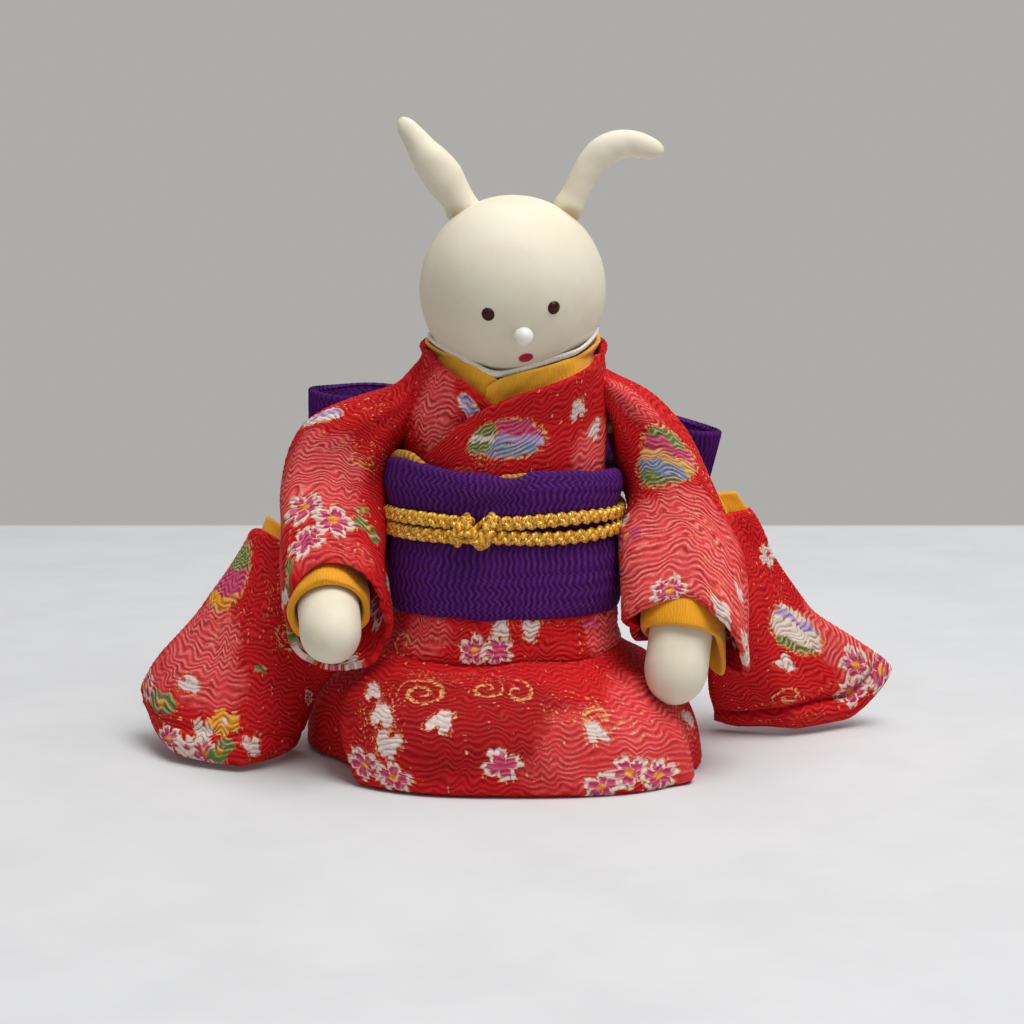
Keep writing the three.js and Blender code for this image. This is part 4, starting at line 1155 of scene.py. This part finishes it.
class RABBIT_OT_obi(bpy.types.Operator):
    """Wide sash, drawn in under its cord, and the scarf that shows above it"""
    bl_idname = "rabbit.obi"
    bl_label = "Sash"

    def execute(self, context):
        height = size_mm("rib_height")

        def surface(u, v):
            turn = FULL * u - 180
            z = OBI_BOTTOM - 0.1 + (obi_top(turn) - OBI_BOTTOM) * SASH_RISE(v)
            dent = 0.95 * bump(z, CORD_Z, 2.0) + 0.45 * bump(z, CORD_Z + 3.4, 0.9) * bump(front_turn(turn), -12, 26)
            swell = 0.35 * np.sin(unit((z - OBI_BOTTOM) / 9) * math.pi) + 0.35 * bump(z, 38.4, 1.6)
            return belt_point(turn, OBI_INNER + (OBI_OUTER - OBI_INNER - dent + swell) * SASH_DEPTH(v), z)
        sash = sew("sash", 430, 110, surface,
                   lambda u, v, c: height * ridge(c) + 0.14 * wander(u * 95, v * 22, 9, 4.0),
                   rib_count(4.4), ring=True, roll=True)
        # Its lighter purple is the painted highlight on the ribs' crests, and 1.0 the strength of painted shade in
        # their valleys.
        crepe = crepe_finish("Sash crepe", sash, colour("purple"), opaque(158, 104, 178), 1.0, 2.4, 0.3)
        dress(sash, "body", "purple_crepe", crepe, "obi_band")
        declare_cloth(sash, along=2)

        def scarf(u, v):
            turn, angle = FULL * u - 180, TAU * v
            out = OBI_INNER + 0.55 + 0.5 * signed_power(np.cos(angle), 0.7)
            tall = SCARF_SHOWN(front_turn(turn)) + SCARF_HIDDEN
            return belt_point(turn, out, obi_top(turn) - SCARF_HIDDEN + tall * (0.5 + 0.5 * np.sin(angle)))
        edge = sew("scarf", 260, 20, scarf, lambda u, v, c: 0.07 * ridge(c),
                   lambda along, across: along / 0.8 + 0.3 * across, ring=True, roll=True)
        # Its paler gold is the painted highlight on the crests, and 0.7 the strength of painted shade in the valleys.
        cloth = crepe_finish("Scarf cloth", edge, opaque(186, 132, 48), opaque(236, 200, 110), 0.7, 0.5)
        dress(edge, "body", "gold_braid", cloth, "obi_scarf")
        return {"FINISHED"}


class RABBIT_OT_bodice(bpy.types.Operator):
    """Crossed front of the kimono with its yellow and white collars"""
    bl_idname = "rabbit.bodice"
    bl_label = "Bodice and collars"

    def execute(self, context):
        def surface(u, v):
            turn = BODICE_TO + (BODICE_FROM - BODICE_TO) * u
            top = CHEST_Z + NECKLINE(turn) + 0.2
            curl_in = 0.45 * unit((v - 0.97) / 0.03) ** 2
            return bodice_point(turn, BODICE_FOOT + (top - BODICE_FOOT) * v, 1.5 * under_lap(turn) - 0.5 + curl_in)
        bodice = sew("bodice", 330, 76, surface, kimono_lift(3.7, 0.12),
                     lambda along, across: crinkle(across - along * 0.28, along, 3.7), thick="cloth")
        dress(bodice, "body", "red_crepe", kimono_finish("Bodice crepe", bodice, bodice_print()), "kimono_bodice")
        declare_cloth(bodice)

        def yellow(u, v):
            turn = COLLAR_FROM + COLLAR_SPAN * u
            front = front_turn(turn)
            high = CHEST_Z + NECKLINE(turn) + COLLAR_RISE(turn)
            lean = 0.95 * bump(front, 60, 32) * v * (turn < -180)
            inward = 1.5 * FRONT_LAP(front) + 0.75 + 0.65 * under_lap(turn) + lean
            return bodice_point(turn, high - COLLAR_WIDE * (1 - v), inward + 0.25 * unit((v - 0.9) / 0.1) ** 2)
        band = sew("yellow_collar_band", 220, 18, yellow, lambda u, v, c: 0.06 * wander(u * 80, v * 4, 3, 6.0),
                   thick="lining")
        # The collar's yellow is lighter than the cuffs': painted light that offsets the shade the head casts on it.
        cloth = fine_cloth_finish("Collar cloth", band, opaque(255, 190, 52), 0.5)
        dress(band, "body", "yellow_cloth", cloth, "yellow_collar")

        def white(u, v):
            turn, angle = -180 + FULL * u, TAU * v
            z = CHEST_Z + WHITE_RISE(turn) - 0.55 + 0.48 * np.sin(angle)
            inward = 1.8 + 1.6 * FRONT_LAP(turn) + 0.7 * bump(turn, 75, 35)
            return bodice_point(turn, z, inward - 0.36 * np.cos(angle))
        edge = sew("white_collar_edge", 200, 16, white, ring=True, roll=True)
        cloth = fine_cloth_finish("Under-collar cloth", edge, opaque(244, 242, 236), 0.4)
        dress(edge, "body", "white_cloth", cloth, "white_collar")
        return {"FINISHED"}


# Cord and bow

KNOT_TURN, CORD_TUCK, CORD_LONG, KNOT_LONG = -14.0, 5.0, 176.0, 13.2
CORD_SEAT = CORD_OUT + 0.05
CORD_UPPER = curve_through([(-180, 1.05), (-85, 0.95), (-65, 1.15), (-45, 1.2), (-28, 1.0), (-14, 0.85), (8, 0.95),
                            (25, 1.2), (45, 1.35), (62, 1.2), (80, 1.0), (180, 1.05)])
CORD_LOWER = curve_through([(-180, -1.05), (-85, -0.98), (-65, -0.9), (-45, -0.9), (-28, -0.9), (-14, -0.85),
                            (8, -1.05), (25, -1.2), (45, -1.15), (62, -1.0), (80, -0.98), (180, -1.05)])
# Wraps of the knot: name, turn, rise, tilt in degrees, half height and half depth
KNOT_WRAPS = (("wrap", -8.0, 0.0, 24, 1.75, 1.4), ("loop", -15.5, -0.35, -42, 1.9, 1.6),
              ("cross", -22, 0.0, 30, 1.65, 1.3))
BOW_Y, BOW_TOP, BOW_HEIGHT, BOW_DEPTH, BOW_BAND, BAND_FOOT = 17.5, 48.8, 12.0, 3.0, 3.4, 28.5
BOW_REACH, BOW_DROOP = {-1: 12.1, 1: 12.9}, {-1: 0.0, 1: 14.0}
BAND_FULL = curve_through([(0, 0.02), (0.03, 0.7), (0.3, 1), (0.6, 0.85), (0.9, 1), (0.97, 0.75), (1, 0.02)])


def braid(name, line, length):
    """Three strands plaited along a line that gives place, outward and upward directions."""
    radius, plait = size_mm("strand"), size_mm("plait")
    strands = []
    for k in range(3):
        def surface(u, v):
            place, out, up = line(u)
            swing, angle = TAU * (u * length / plait + k / 3), TAU * v
            sway, dip = radius * 1.02 * np.sin(swing), radius * 0.62 * np.sin(2 * swing)
            reach = place + up * (sway + radius * np.sin(angle))[..., None]
            return np.moveaxis(reach + out * (dip + radius * np.cos(angle))[..., None], -1, 0)
        strands.append(weave(f"{name}_{k}", int(length / plait * 16), 10, surface,
                             count=lambda along, across: along / 0.62 + across / 2.9))
    cord = join(strands, name)
    weld(cord, 0.005, cap=True)
    smooth(cord)
    return cord


class RABBIT_OT_cord(bpy.types.Operator):
    """Doubled gold braid round the sash, and its knot"""
    bl_idname = "rabbit.cord"
    bl_label = "Cord and knot"

    def execute(self, context):
        def line(u):
            run = CORD_TUCK + (2 * FULL - 2 * CORD_TUCK) * u
            turn = front_turn(KNOT_TURN + run)
            climb = smooth_step(run, FULL - CORD_TUCK, FULL + CORD_TUCK)
            rise = CORD_LOWER(turn) * (1 - climb) + CORD_UPPER(turn) * climb
            place = np.stack(belt_point(turn, CORD_SEAT, CORD_Z + rise), -1)
            ahead, behind = (np.stack(belt_point(turn + step, CORD_OUT, CORD_Z), -1) for step in (1, -1))
            along = normed(ahead - behind)
            up = np.broadcast_to(np.array([0, 0, 1.0]), along.shape)
            return place, np.cross(along, up), up
        gold = braid_finish("Gold thread")
        dress(braid("gold_braid_cord", line, CORD_LONG), "body", "gold_braid", gold, "gold_cord")

        wraps = []
        up = np.array([0, 0, 1.0])
        for name, turn, drop, tilt, tall, deep in KNOT_WRAPS:
            seat = np.array([float(c) for c in belt_point(turn, CORD_SEAT, CORD_Z + drop)])
            facing, lean = math.radians(turn * 0.55), math.radians(tilt)
            out = np.array([math.sin(facing), -math.cos(facing), 0.0])
            rise = up * math.cos(lean) + np.cross(up, out) * math.sin(lean)

            def ring(u):
                angle = TAU * u[..., None]
                place = seat + rise * np.sin(angle) * tall + out * np.cos(angle) * deep
                face = normed(rise * np.sin(angle) / tall + out * np.cos(angle) / deep)
                return place, face, np.broadcast_to(np.cross(out, rise), place.shape)
            wraps.append(braid(f"knot_{name}", ring, KNOT_LONG))
        dress(join(wraps, "cord_knot"), "body", "gold_braid", gold, "gold_cord_knot")
        return {"FINISHED"}


class RABBIT_OT_bow(bpy.types.Operator):
    """Flat loops of the bow at the back and the band that holds them"""
    bl_idname = "rabbit.bow"
    bl_label = "Bow"

    def execute(self, context):
        height = size_mm("rib_height")

        def bow_crepe(name, piece):
            # Its lighter purple is the painted highlight on the ribs' crests, and 0.95 the strength of painted shade in
            # their valleys.
            return crepe_finish(name, piece, colour("purple"), opaque(128, 74, 150), 0.95, 1.6, 0.3)
        for side, name in SIDE_NAME.items():
            reach, droop = BOW_REACH[side], math.radians(BOW_DROOP[side])

            def surface(u, v):
                angle = TAU * u
                x = (reach + 1.25) * signed_power(np.sin(angle), 0.9)
                y = -BOW_DEPTH * np.cos(angle) * (1 - 0.25 * np.sin(v * math.pi))
                y = y + 0.35 * wander(x, v * 12, 13, 7.0 + side)
                z = -BOW_HEIGHT * (1 - v) + 0.35 * wander(x, 0 * x, 15, 8.0 + side) * v - 1.4 * unit(np.cos(angle)) * v
                x = side * (reach - 0.95) + x * (1 - 0.04 * unit((v - 0.95) / 0.05) ** 2)
                gather = smooth_step(side * x, -3.0, 6.0)
                z = -BOW_HEIGHT / 2 + (z + BOW_HEIGHT / 2) * (0.7 + 0.3 * gather)
                room = side * BOW_BAND + BOW_HEIGHT * math.sin(droop)
                return (x * math.cos(droop) + z * math.sin(droop) + room, y + BOW_Y,
                        -x * math.sin(droop) + z * math.cos(droop) + BOW_TOP)
            loop = sew(f"{name}_bow_loop", 230, 44, surface,
                       lambda u, v, c: height * ridge(c) - 0.3 * unit((v - 0.94) / 0.06) ** 2,
                       rib_count(5.0 + side), ring=True, thick="cloth")
            dress(loop, "body", "purple_crepe", bow_crepe(f"{name.title()} bow crepe", loop), f"bow_loop_{name}")
            declare_cloth(loop)

        def band(u, v):
            x, y = oval(FULL * u, BOW_BAND, BOW_BAND, BOW_BAND, BOW_BAND)
            full = BAND_FULL(v)
            return x * full, y * full + BOW_Y + 0.5, BAND_FOOT + (BOW_TOP - 0.2 - BAND_FOOT) * v
        wrap = sew("bow_band", 90, 60, band, lambda u, v, c: height * ridge(c) * np.sin(v * math.pi),
                   rib_count(9.0), ring=True)
        dress(wrap, "body", "purple_crepe", bow_crepe("Bow band crepe", wrap), "bow_center_band")
        return {"FINISHED"}


# Sleeves

# Sections of each tube from neck to mouth: left x, z, right x, z, middle y and half depth
SLEEVE_CUTS = {
    -1: [(-9.6, 55.0, -10.2, 49.4, 0.4, 4.6), (-14.6, 51.0, -11.8, 45.6, 0.6, 6.0),
         (-21.0, 48.9, -13.6, 42.6, 0.6, 6.2), (-26.2, 45.2, -15.0, 39.6, 0.2, 6.0),
         (-28.8, 40.0, -16.0, 36.2, -1.0, 5.8), (-30.0, 34.3, -15.8, 32.2, -3.3, 6.0),
         (-29.8, 28.2, -15.6, 27.4, -7.0, 6.3), (-28.9, 22.6, -14.9, 22.8, -11.5, 6.7)],
    1: [(10.8, 49.6, 10.4, 55.0, 0.4, 4.6), (13.4, 47.6, 15.5, 52.3, 0.6, 6.0),
        (14.6, 44.2, 20.0, 49.4, 0.6, 6.2), (15.6, 40.6, 25.5, 43.4, 0.4, 6.0),
        (16.4, 36.5, 28.4, 38.0, -0.6, 5.8), (16.9, 32.0, 30.6, 32.2, -2.6, 6.0),
        (17.0, 27.0, 32.3, 26.6, -5.6, 6.3), (16.8, 21.6, 32.8, 20.8, -8.6, 6.7)],
}
SLEEVE_FULLNESS, SLEEVE_ROUND = {-1: 0, 1: 1.5}, 2.5
# Lines down each pouch, from its outer edge to its inner one: share, top and foot
TAIL_LINES = {
    -1: [(0, (-34.4, 7, 29.8), (-54.2, 5, 2.4)), (0.25, (-33.6, 6.2, 29.8), (-45.4, -7.5, 1)),
         (0.5, (-32.4, 5, 29.6), (-35.2, -12.4, 0.9)), (0.75, (-26.5, 0, 26.5), (-30.6, -8, 0.9)),
         (1, (-18.2, -7.5, 20), (-29.4, -0.6, 0.9))],
    1: [(0, (34.8, 9, 32.4), (56.6, 13, 3.6)), (0.25, (31.4, 8, 32), (50, 10.5, 1.1)),
        (0.55, (28.9, 3, 29.5), (41.5, 5.8, 1)), (1, (26.6, -3, 20.5), (30.3, 9.6, 1.2))],
}
TAIL_SWAY = {-1: curve_through([(0, 0), (0.4, 0.3), (0.7, -1.1), (0.8, -0.9), (0.9, 1.2), (1, 3)]),
             1: curve_through([(0, 0), (0.27, -1.6), (0.5, -2), (0.69, 0.9), (0.82, 3), (1, 0)])}
TAIL_CORNER = {-1: (0.1, 0.26), 1: (0.15, 0.3)}
TAIL_PINCH = {-1: 0.25, 1: 1.0}
LINING_SPAN, LINING_TOP, LINING_FOOT = {-1: (0.25, 0.64), 1: (0.02, 0.36)}, {-1: -0.06, 1: -0.085}, 0.06


def sleeve_print(side):
    if side < 0:
        return [
            strewn(-1, 11), cloud(22.5, 25, 6.5, 8, 0.95), cloud(21, 31, 5, 4, 0.7), cloud(20, 39, 6, 3, 0.4),
            cloud(30, 32, 5, 8, 0.6), dust(18, 19, 4.5, 5), curl(17.5, 20.5, 2.2), dust(19, 38.8, 5, 1.6),
            dust(24, 12, 4, 4), leaf(26.3, 15.4, 2.4, 1.7, 40, "white", "lavender", "lavender", "white", "white"),
            petal(28.4, 16.6, 1.2), blossom(23.2, 32.0, 2.5, 10), blossom(19.7, 34.8, 2.7, 40),
            blossom(22.6, 37.4, 2.4, 70, 5.0, "pink", "white", "pink"), sprig(15.6, 34.0, 2.0, -20),
            sprig(16.4, 31.4, 1.1, 40), sprig(25.6, 39.6, 1.7, 50), petal(27.4, 40.2, 1.4, 60),
            blossom(34.4, 40.9, 2.0, 15, 5.0, "white", "white", "pink"), sprig(31.6, 40.6, 1.7, 30),
            blossom(38.2, 41.0, 1.9, 50), petal(0.8, 41.0, 1.7, 60)]
    return [
        strewn(-1, 9), strewn(31, 41), cloud(22, 35, 8.5, 9, 1.0), cloud(18, 30, 6, 6, 0.8),
        cloud(17.5, 9, 4, 5, 0.7), cloud(13, 38, 4, 6, 0.8), dust(18.5, 33, 2.2, 7), dust(15, 38, 2.5, 4),
        dust(24, 25.5, 5, 1.6), dust(13, 20, 3, 6),
        leaf(19.4, 19.6, 3.6, 6.2, -35, "green", "pink", "gilt", "blue", "green"),
        sprig(26.6, 32.0, 1.8, 0, "pink"), petal(27.4, 29.0, 1.3), blossom(22.6, 41.0, 2.0, 30),
        petal(17.2, 41.6, 1.6, 20), blossom(12.8, 41.0, 2.0, 10, 4.0, "white", "white", "pink"),
        petal(14.4, 35.6, 1.1)]


def tail_print(side):
    if side < 0:
        return [
            strewn(33, 57), cloud(22.5, 16.5, 6.8, 5.6, 0.95), cloud(19, 21.5, 5, 4, 0.7), cloud(26, 22, 3, 4, 0.7),
            dust(18, 15, 4, 4), dust(11, 10, 3, 7),
            leaf(23.4, 7.4, 5.4, 4.7, 4, "green", "green", "pink", "pink", "yellow"), petal(21.7, 22.2, 1.6, 70),
            sprig(24.1, 25.8, 2.3, 20), blossom(27.6, 26.4, 1.9, 20), blossom(22.3, 29.6, 1.7, 10),
            blossom(20.2, 30.2, 1.6, 40, 5.0, "white", "white", "pink"), blossom(18.2, 30.4, 1.8, 30),
            petal(18.7, 27.8, 1.7), blossom(16.6, 26.3, 1.9, 10, 5.0, "yellow", "yellow", "white"),
            sprig(16.5, 29.9, 1.9, 60), petal(13.2, 29.0, 1.6, 20), sprig(13.0, 18.8, 1.0),
            blossom(3.0, 20.3, 1.7, 30), curl(9, 13, 2.2), dust(25, 28, 3, 1.5)]
    return [
        strewn(27, 46), cloud(2, 22.5, 4, 5, 0.85), cloud(1.5, 27, 4.5, 3, 0.7), dust(6.5, 14, 4, 1.4, 20),
        dust(10.8, 27.5, 4.5, 0.7), dust(13, 31, 5, 0.9),
        blossom(1.9, 7.9, 1.9, 0, 5.0, "white", "white", "pink", wide=1.8),
        leaf(6.9, 18.3, 4.4, 3.4, -47, "white", "lavender", "white", "white", "green"), petal(11.1, 22.2, 1.6, 20),
        blossom(2.9, 26.5, 2.2, 20), blossom(1.2, 30.2, 2.2, 50), blossom(4.9, 29.0, 2.1, 0),
        curl(12.5, 27.0, 1.6, 40, 1.4), petal(17, 16.0, 1.4, 60)]


def sleeve_surface(side):
    """Tube through the sleeve's sections, with a mouth that hangs lower behind the hand."""
    marks = np.linspace(0, 1, len(SLEEVE_CUTS[side]))
    tracks = [curve_through(list(zip(marks, values))) for values in zip(*SLEEVE_CUTS[side])]
    steps = np.linspace(0, 1, 200)
    left_x, left_z, right_x, right_z, mid_y, _ = (track(steps) for track in tracks)
    path = np.stack([(left_x + right_x) / 2, mid_y, (left_z + right_z) / 2], -1)
    length = np.linalg.norm(np.diff(path, axis=0), axis=1).sum()
    heading = normed(np.gradient(path, axis=0))

    def surface(u, v):
        angle = TAU * u
        cos, sin = np.cos(angle), np.sin(angle)
        outer, inner, above, below = unit(cos * side), unit(-cos * side), unit(sin), unit(-sin)
        if side < 0:
            reach = 6.5 * below ** 1.5 + 2.2 * outer ** 2 + 1.2 * inner ** 2 - 2.4 * above ** 1.5
        else:
            reach = 3.0 * below ** 1.5 + 8.0 * outer ** 1.5 + 3.2 * inner ** 2
        t = v * (1 + reach / length)
        at = np.minimum(t, 1)
        left_x, left_z, right_x, right_z, mid_y, deep = (track(at) for track in tracks)
        along = np.stack([np.interp(at, steps, heading[:, k]) for k in range(3)], -1)
        across = np.stack([right_x - left_x, 0 * at, right_z - left_z], -1) / 2
        front = np.cross(along, normed(across))
        middle = np.stack([(left_x + right_x) / 2, mid_y, (left_z + right_z) / 2], -1)
        full = (np.abs(cos) ** SLEEVE_ROUND + np.abs(sin) ** SLEEVE_ROUND) ** (-1 / SLEEVE_ROUND)
        full = full * (1 - 0.06 * unit((v - 0.975) / 0.025) ** 2)
        place = (middle + along * ((t - at) * length)[..., None] + across * (cos * full)[..., None]
                 + front * (deep * sin * full)[..., None])
        forward, lower = smooth_step(sin, -0.05, 0.4), 1 - smooth_step(place[..., 2], 31.0, 37.0)
        mouth = 1 - smooth_step(place[..., 2], 18.0, 27.0)
        place[..., 0] -= SLEEVE_FULLNESS[side] * (1 + 0.6 * mouth) * inner ** 2 * forward * lower
        return np.moveaxis(place, -1, 0)
    return surface


def tail_point(side, u, v):
    """Point of a sleeve pouch, folded along its lines."""
    shares, tops, feet = zip(*TAIL_LINES[side])

    def edge(line, axis):
        track = [at[axis] for at in line]
        return 0.6 * np.interp(u, shares, track) + 0.4 * curve_through(list(zip(shares, track)))(u)
    place = [edge(tops, axis) + (edge(feet, axis) - edge(tops, axis)) * v for axis in range(3)]
    place[0] = place[0] + TAIL_SWAY[side](v) * unit(1 - 2.5 * u)
    return np.stack(place, -1)


def tail_slab(side, across, low, high, thick):
    """Closed pouch over part of a tail: its front runs right to left, then its back returns."""
    cut, span = TAIL_CORNER[side]

    def surface(u, v):
        back = np.abs(2 * u - 1)
        share = back if side < 0 else 1 - back
        at = across[0] + (across[1] - across[0]) * share
        down = low + (high - low) * v * (1 - cut * unit(1 - share / span) ** 2)
        step = 0.04
        along_u = tail_point(side, at + step, down) - tail_point(side, at - step, down)
        along_v = tail_point(side, at, down + step) - tail_point(side, at, down - step)
        normal = normed(np.cross(along_u, along_v) * side)
        soft = np.sqrt(unit(1 - np.abs(2 * share - 1) ** 8))
        face = np.where(u < 0.5, 1, -1)
        return np.moveaxis(tail_point(side, at, down) + normal * (face * soft * thick(u, v))[..., None], -1, 0)
    return surface


class RABBIT_OT_sleeves(bpy.types.Operator):
    """Sleeve tubes from the shoulders to the cuffs"""
    bl_idname = "rabbit.sleeves"
    bl_label = "Sleeves"

    def execute(self, context):
        for side, name in SIDE_NAME.items():
            around = sleeve_surface(side)
            sleeve = sew(f"{name}_sleeve_tube", 110, 170, lambda u, v: around(u - 0.25, v),
                         kimono_lift(5.0 + side, 0.32, 12.0), kimono_count(5.0 + side), ring=True, thick="cloth")
            sleeve.data.materials.append(kimono_finish(f"{name.title()} sleeve crepe", sleeve, sleeve_print(side)))
            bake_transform(sleeve)
            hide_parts(f"{name}_sleeve")
            declare_cloth(sleeve)
        return {"FINISHED"}


class RABBIT_OT_tails(bpy.types.Operator):
    """Long pouches of the sleeves that spread on the floor, with their lining"""
    bl_idname = "rabbit.tails"
    bl_label = "Sleeve tails"

    def execute(self, context):
        for side, name in SIDE_NAME.items():
            def thick(u, v):
                pinch = TAIL_PINCH[side] * 1.3 * bump(v, 0.885, 0.017) * (u < 0.5)
                return taper(v, 0.03, 0.045) * (1.25 + 0.35 * np.sin(v * math.pi) - pinch)
            tail = sew(f"{name}_sleeve_tail", 190, 130, tail_slab(side, (0, 1), 0.0, 1.0, thick),
                       sewn(kimono_lift(8.0 + side, 0.28, 13.0)), kimono_count(8.0 + side), ring=True)
            crepe = kimono_finish(f"{name.title()} tail crepe", tail, tail_print(side))
            dress(tail, f"{name}_arm", "red_crepe", crepe, f"{name}_sleeve")
            declare_cloth(tail, across=2)

            flat = tail_slab(side, LINING_SPAN[side], LINING_TOP[side], LINING_FOOT,
                             lambda u, v: 0.45 * taper(v, 0.08, 0.08))
            edge = sew(f"{name}_lining_edge", 60, 30, flat,
                       sewn(lambda u, v, c: 0.05 * wander(u * 12, v * 6, 4, 2.0)), ring=True)
            cloth = fine_cloth_finish(f"{name.title()} lining cloth", edge, colour("yellow"), 0.36)
            dress(edge, f"{name}_arm", "yellow_cloth", cloth, f"{name}_sleeve_lining")
        return {"FINISHED"}


# Stage

BACKDROP, BACKDROP_Y = opaque(174, 172, 168), 0.172
# Soft lamps: name, place, power and size
LAMPS = (("key", (0.18, -0.15, 0.6), 3.45, 0.4), ("fill", (-0.45, -0.5, 0.35), 0.1, 0.6),
         ("top", (0.02, 0.05, 0.7), 1.6, 0.6))
LAMP_AIM = Vector((0, 0, 0.04))
SKY, SKY_STRENGTH = (1, 0.985, 0.96, 1), 0.25
CAMERA_PLACE, CAMERA_TILT, CAMERA_LENS = (0.0013, -0.29544, 0.0854), math.radians(80), 77.0


def show_backdrop(tree, edge=None):
    """Lets rays from the camera, and those seen in gloss or glass, meet a plain grey past an edge on the floor."""
    out = next(n for n in tree.nodes if n.bl_idname in ("ShaderNodeOutputMaterial", "ShaderNodeOutputWorld"))
    surface = out.inputs["Surface"]
    lit = Wire(tree, surface.links[0].from_socket)
    rays = node(tree, "LightPath")
    seen = rays["Is Camera Ray"].math("MAXIMUM", rays["Is Glossy Ray"]).math("MAXIMUM", rays["Is Transmission Ray"])
    if edge is not None:
        seen = seen * object_place(tree).parts()[1].fade(edge - 0.002, edge + 0.002)
    grey = node(tree, "Background" if edge is None else "Emission", {"Color": BACKDROP})[0]
    connect(tree, node(tree, "MixShader", {0: seen, 1: lit, 2: grey})[0], surface)


class RABBIT_OT_stage(bpy.types.Operator):
    """Pale floor, soft light and the camera"""
    bl_idname = "rabbit.stage"
    bl_label = "Stage"

    def execute(self, context):
        scene = context.scene
        bpy.ops.object.select_all(action="DESELECT")
        bpy.ops.mesh.primitive_plane_add(size=3.0, location=(0, 0, 0))
        floor = named(context.object, "floor")
        settle(floor)
        paper = plain_finish("Floor paper", opaque(208, 209, 211), opaque(203, 204, 206), 40, 0.8)
        floor.data.materials.append(paper)
        show_backdrop(paper.node_tree, BACKDROP_Y)
        for name, spot, power, size in LAMPS:
            bpy.ops.object.light_add(type="AREA", location=spot)
            lamp = named(context.object, name)
            lamp.data.energy, lamp.data.size = power, size
            lamp.rotation_euler = (LAMP_AIM - Vector(spot)).to_track_quat("-Z", "Y").to_euler()
        scene.world = scene.world or bpy.data.worlds.new("World")
        scene.world.use_nodes = True
        sky = scene.world.node_tree.nodes["Background"]
        sky.inputs["Color"].default_value = SKY
        sky.inputs["Strength"].default_value = SKY_STRENGTH
        show_backdrop(scene.world.node_tree)
        bpy.ops.object.camera_add(location=CAMERA_PLACE, rotation=(CAMERA_TILT, 0, 0))
        scene.camera = context.object
        scene.camera.data.sensor_width, scene.camera.data.lens = 36.0, CAMERA_LENS
        scene.camera.data.clip_start = 0.01
        scene.view_settings.view_transform = "Standard"
        return {"FINISHED"}


class RABBIT_PT_panel(bpy.types.Panel):
    """Lists the pieces of the doll with their sizes and colours"""
    bl_idname = "RABBIT_PT_panel"
    bl_label = "Rabbit doll"
    bl_space_type = "VIEW_3D"
    bl_region_type = "UI"
    bl_category = "Rabbit doll"

    def draw(self, context):
        for made in OPERATORS:
            self.layout.operator(made.bl_idname)
        for values in (context.scene.rabbit_sizes, context.scene.rabbit_colours):
            for key in values.__annotations__:
                self.layout.prop(values, key)


OPERATORS = (RABBIT_OT_stage, RABBIT_OT_core, RABBIT_OT_skirt, RABBIT_OT_waist, RABBIT_OT_obi, RABBIT_OT_bodice,
             RABBIT_OT_cord, RABBIT_OT_bow, RABBIT_OT_arms, RABBIT_OT_sleeves, RABBIT_OT_tails, RABBIT_OT_head,
             RABBIT_OT_ears)
CLASSES = (RabbitSizes, RabbitColours, *OPERATORS, RABBIT_PT_panel)


def register():
    for made in CLASSES:
        bpy.utils.register_class(made)
    bpy.types.Scene.rabbit_sizes = bpy.props.PointerProperty(type=RabbitSizes)
    bpy.types.Scene.rabbit_colours = bpy.props.PointerProperty(type=RabbitColours)


def unregister():
    del bpy.types.Scene.rabbit_sizes
    del bpy.types.Scene.rabbit_colours
    for made in reversed(CLASSES):
        bpy.utils.unregister_class(made)


def main():
    register()
    for made in OPERATORS:
        family, name = made.bl_idname.split(".")
        getattr(getattr(bpy.ops, family), name)()


if __name__ == "__main__":
    main()
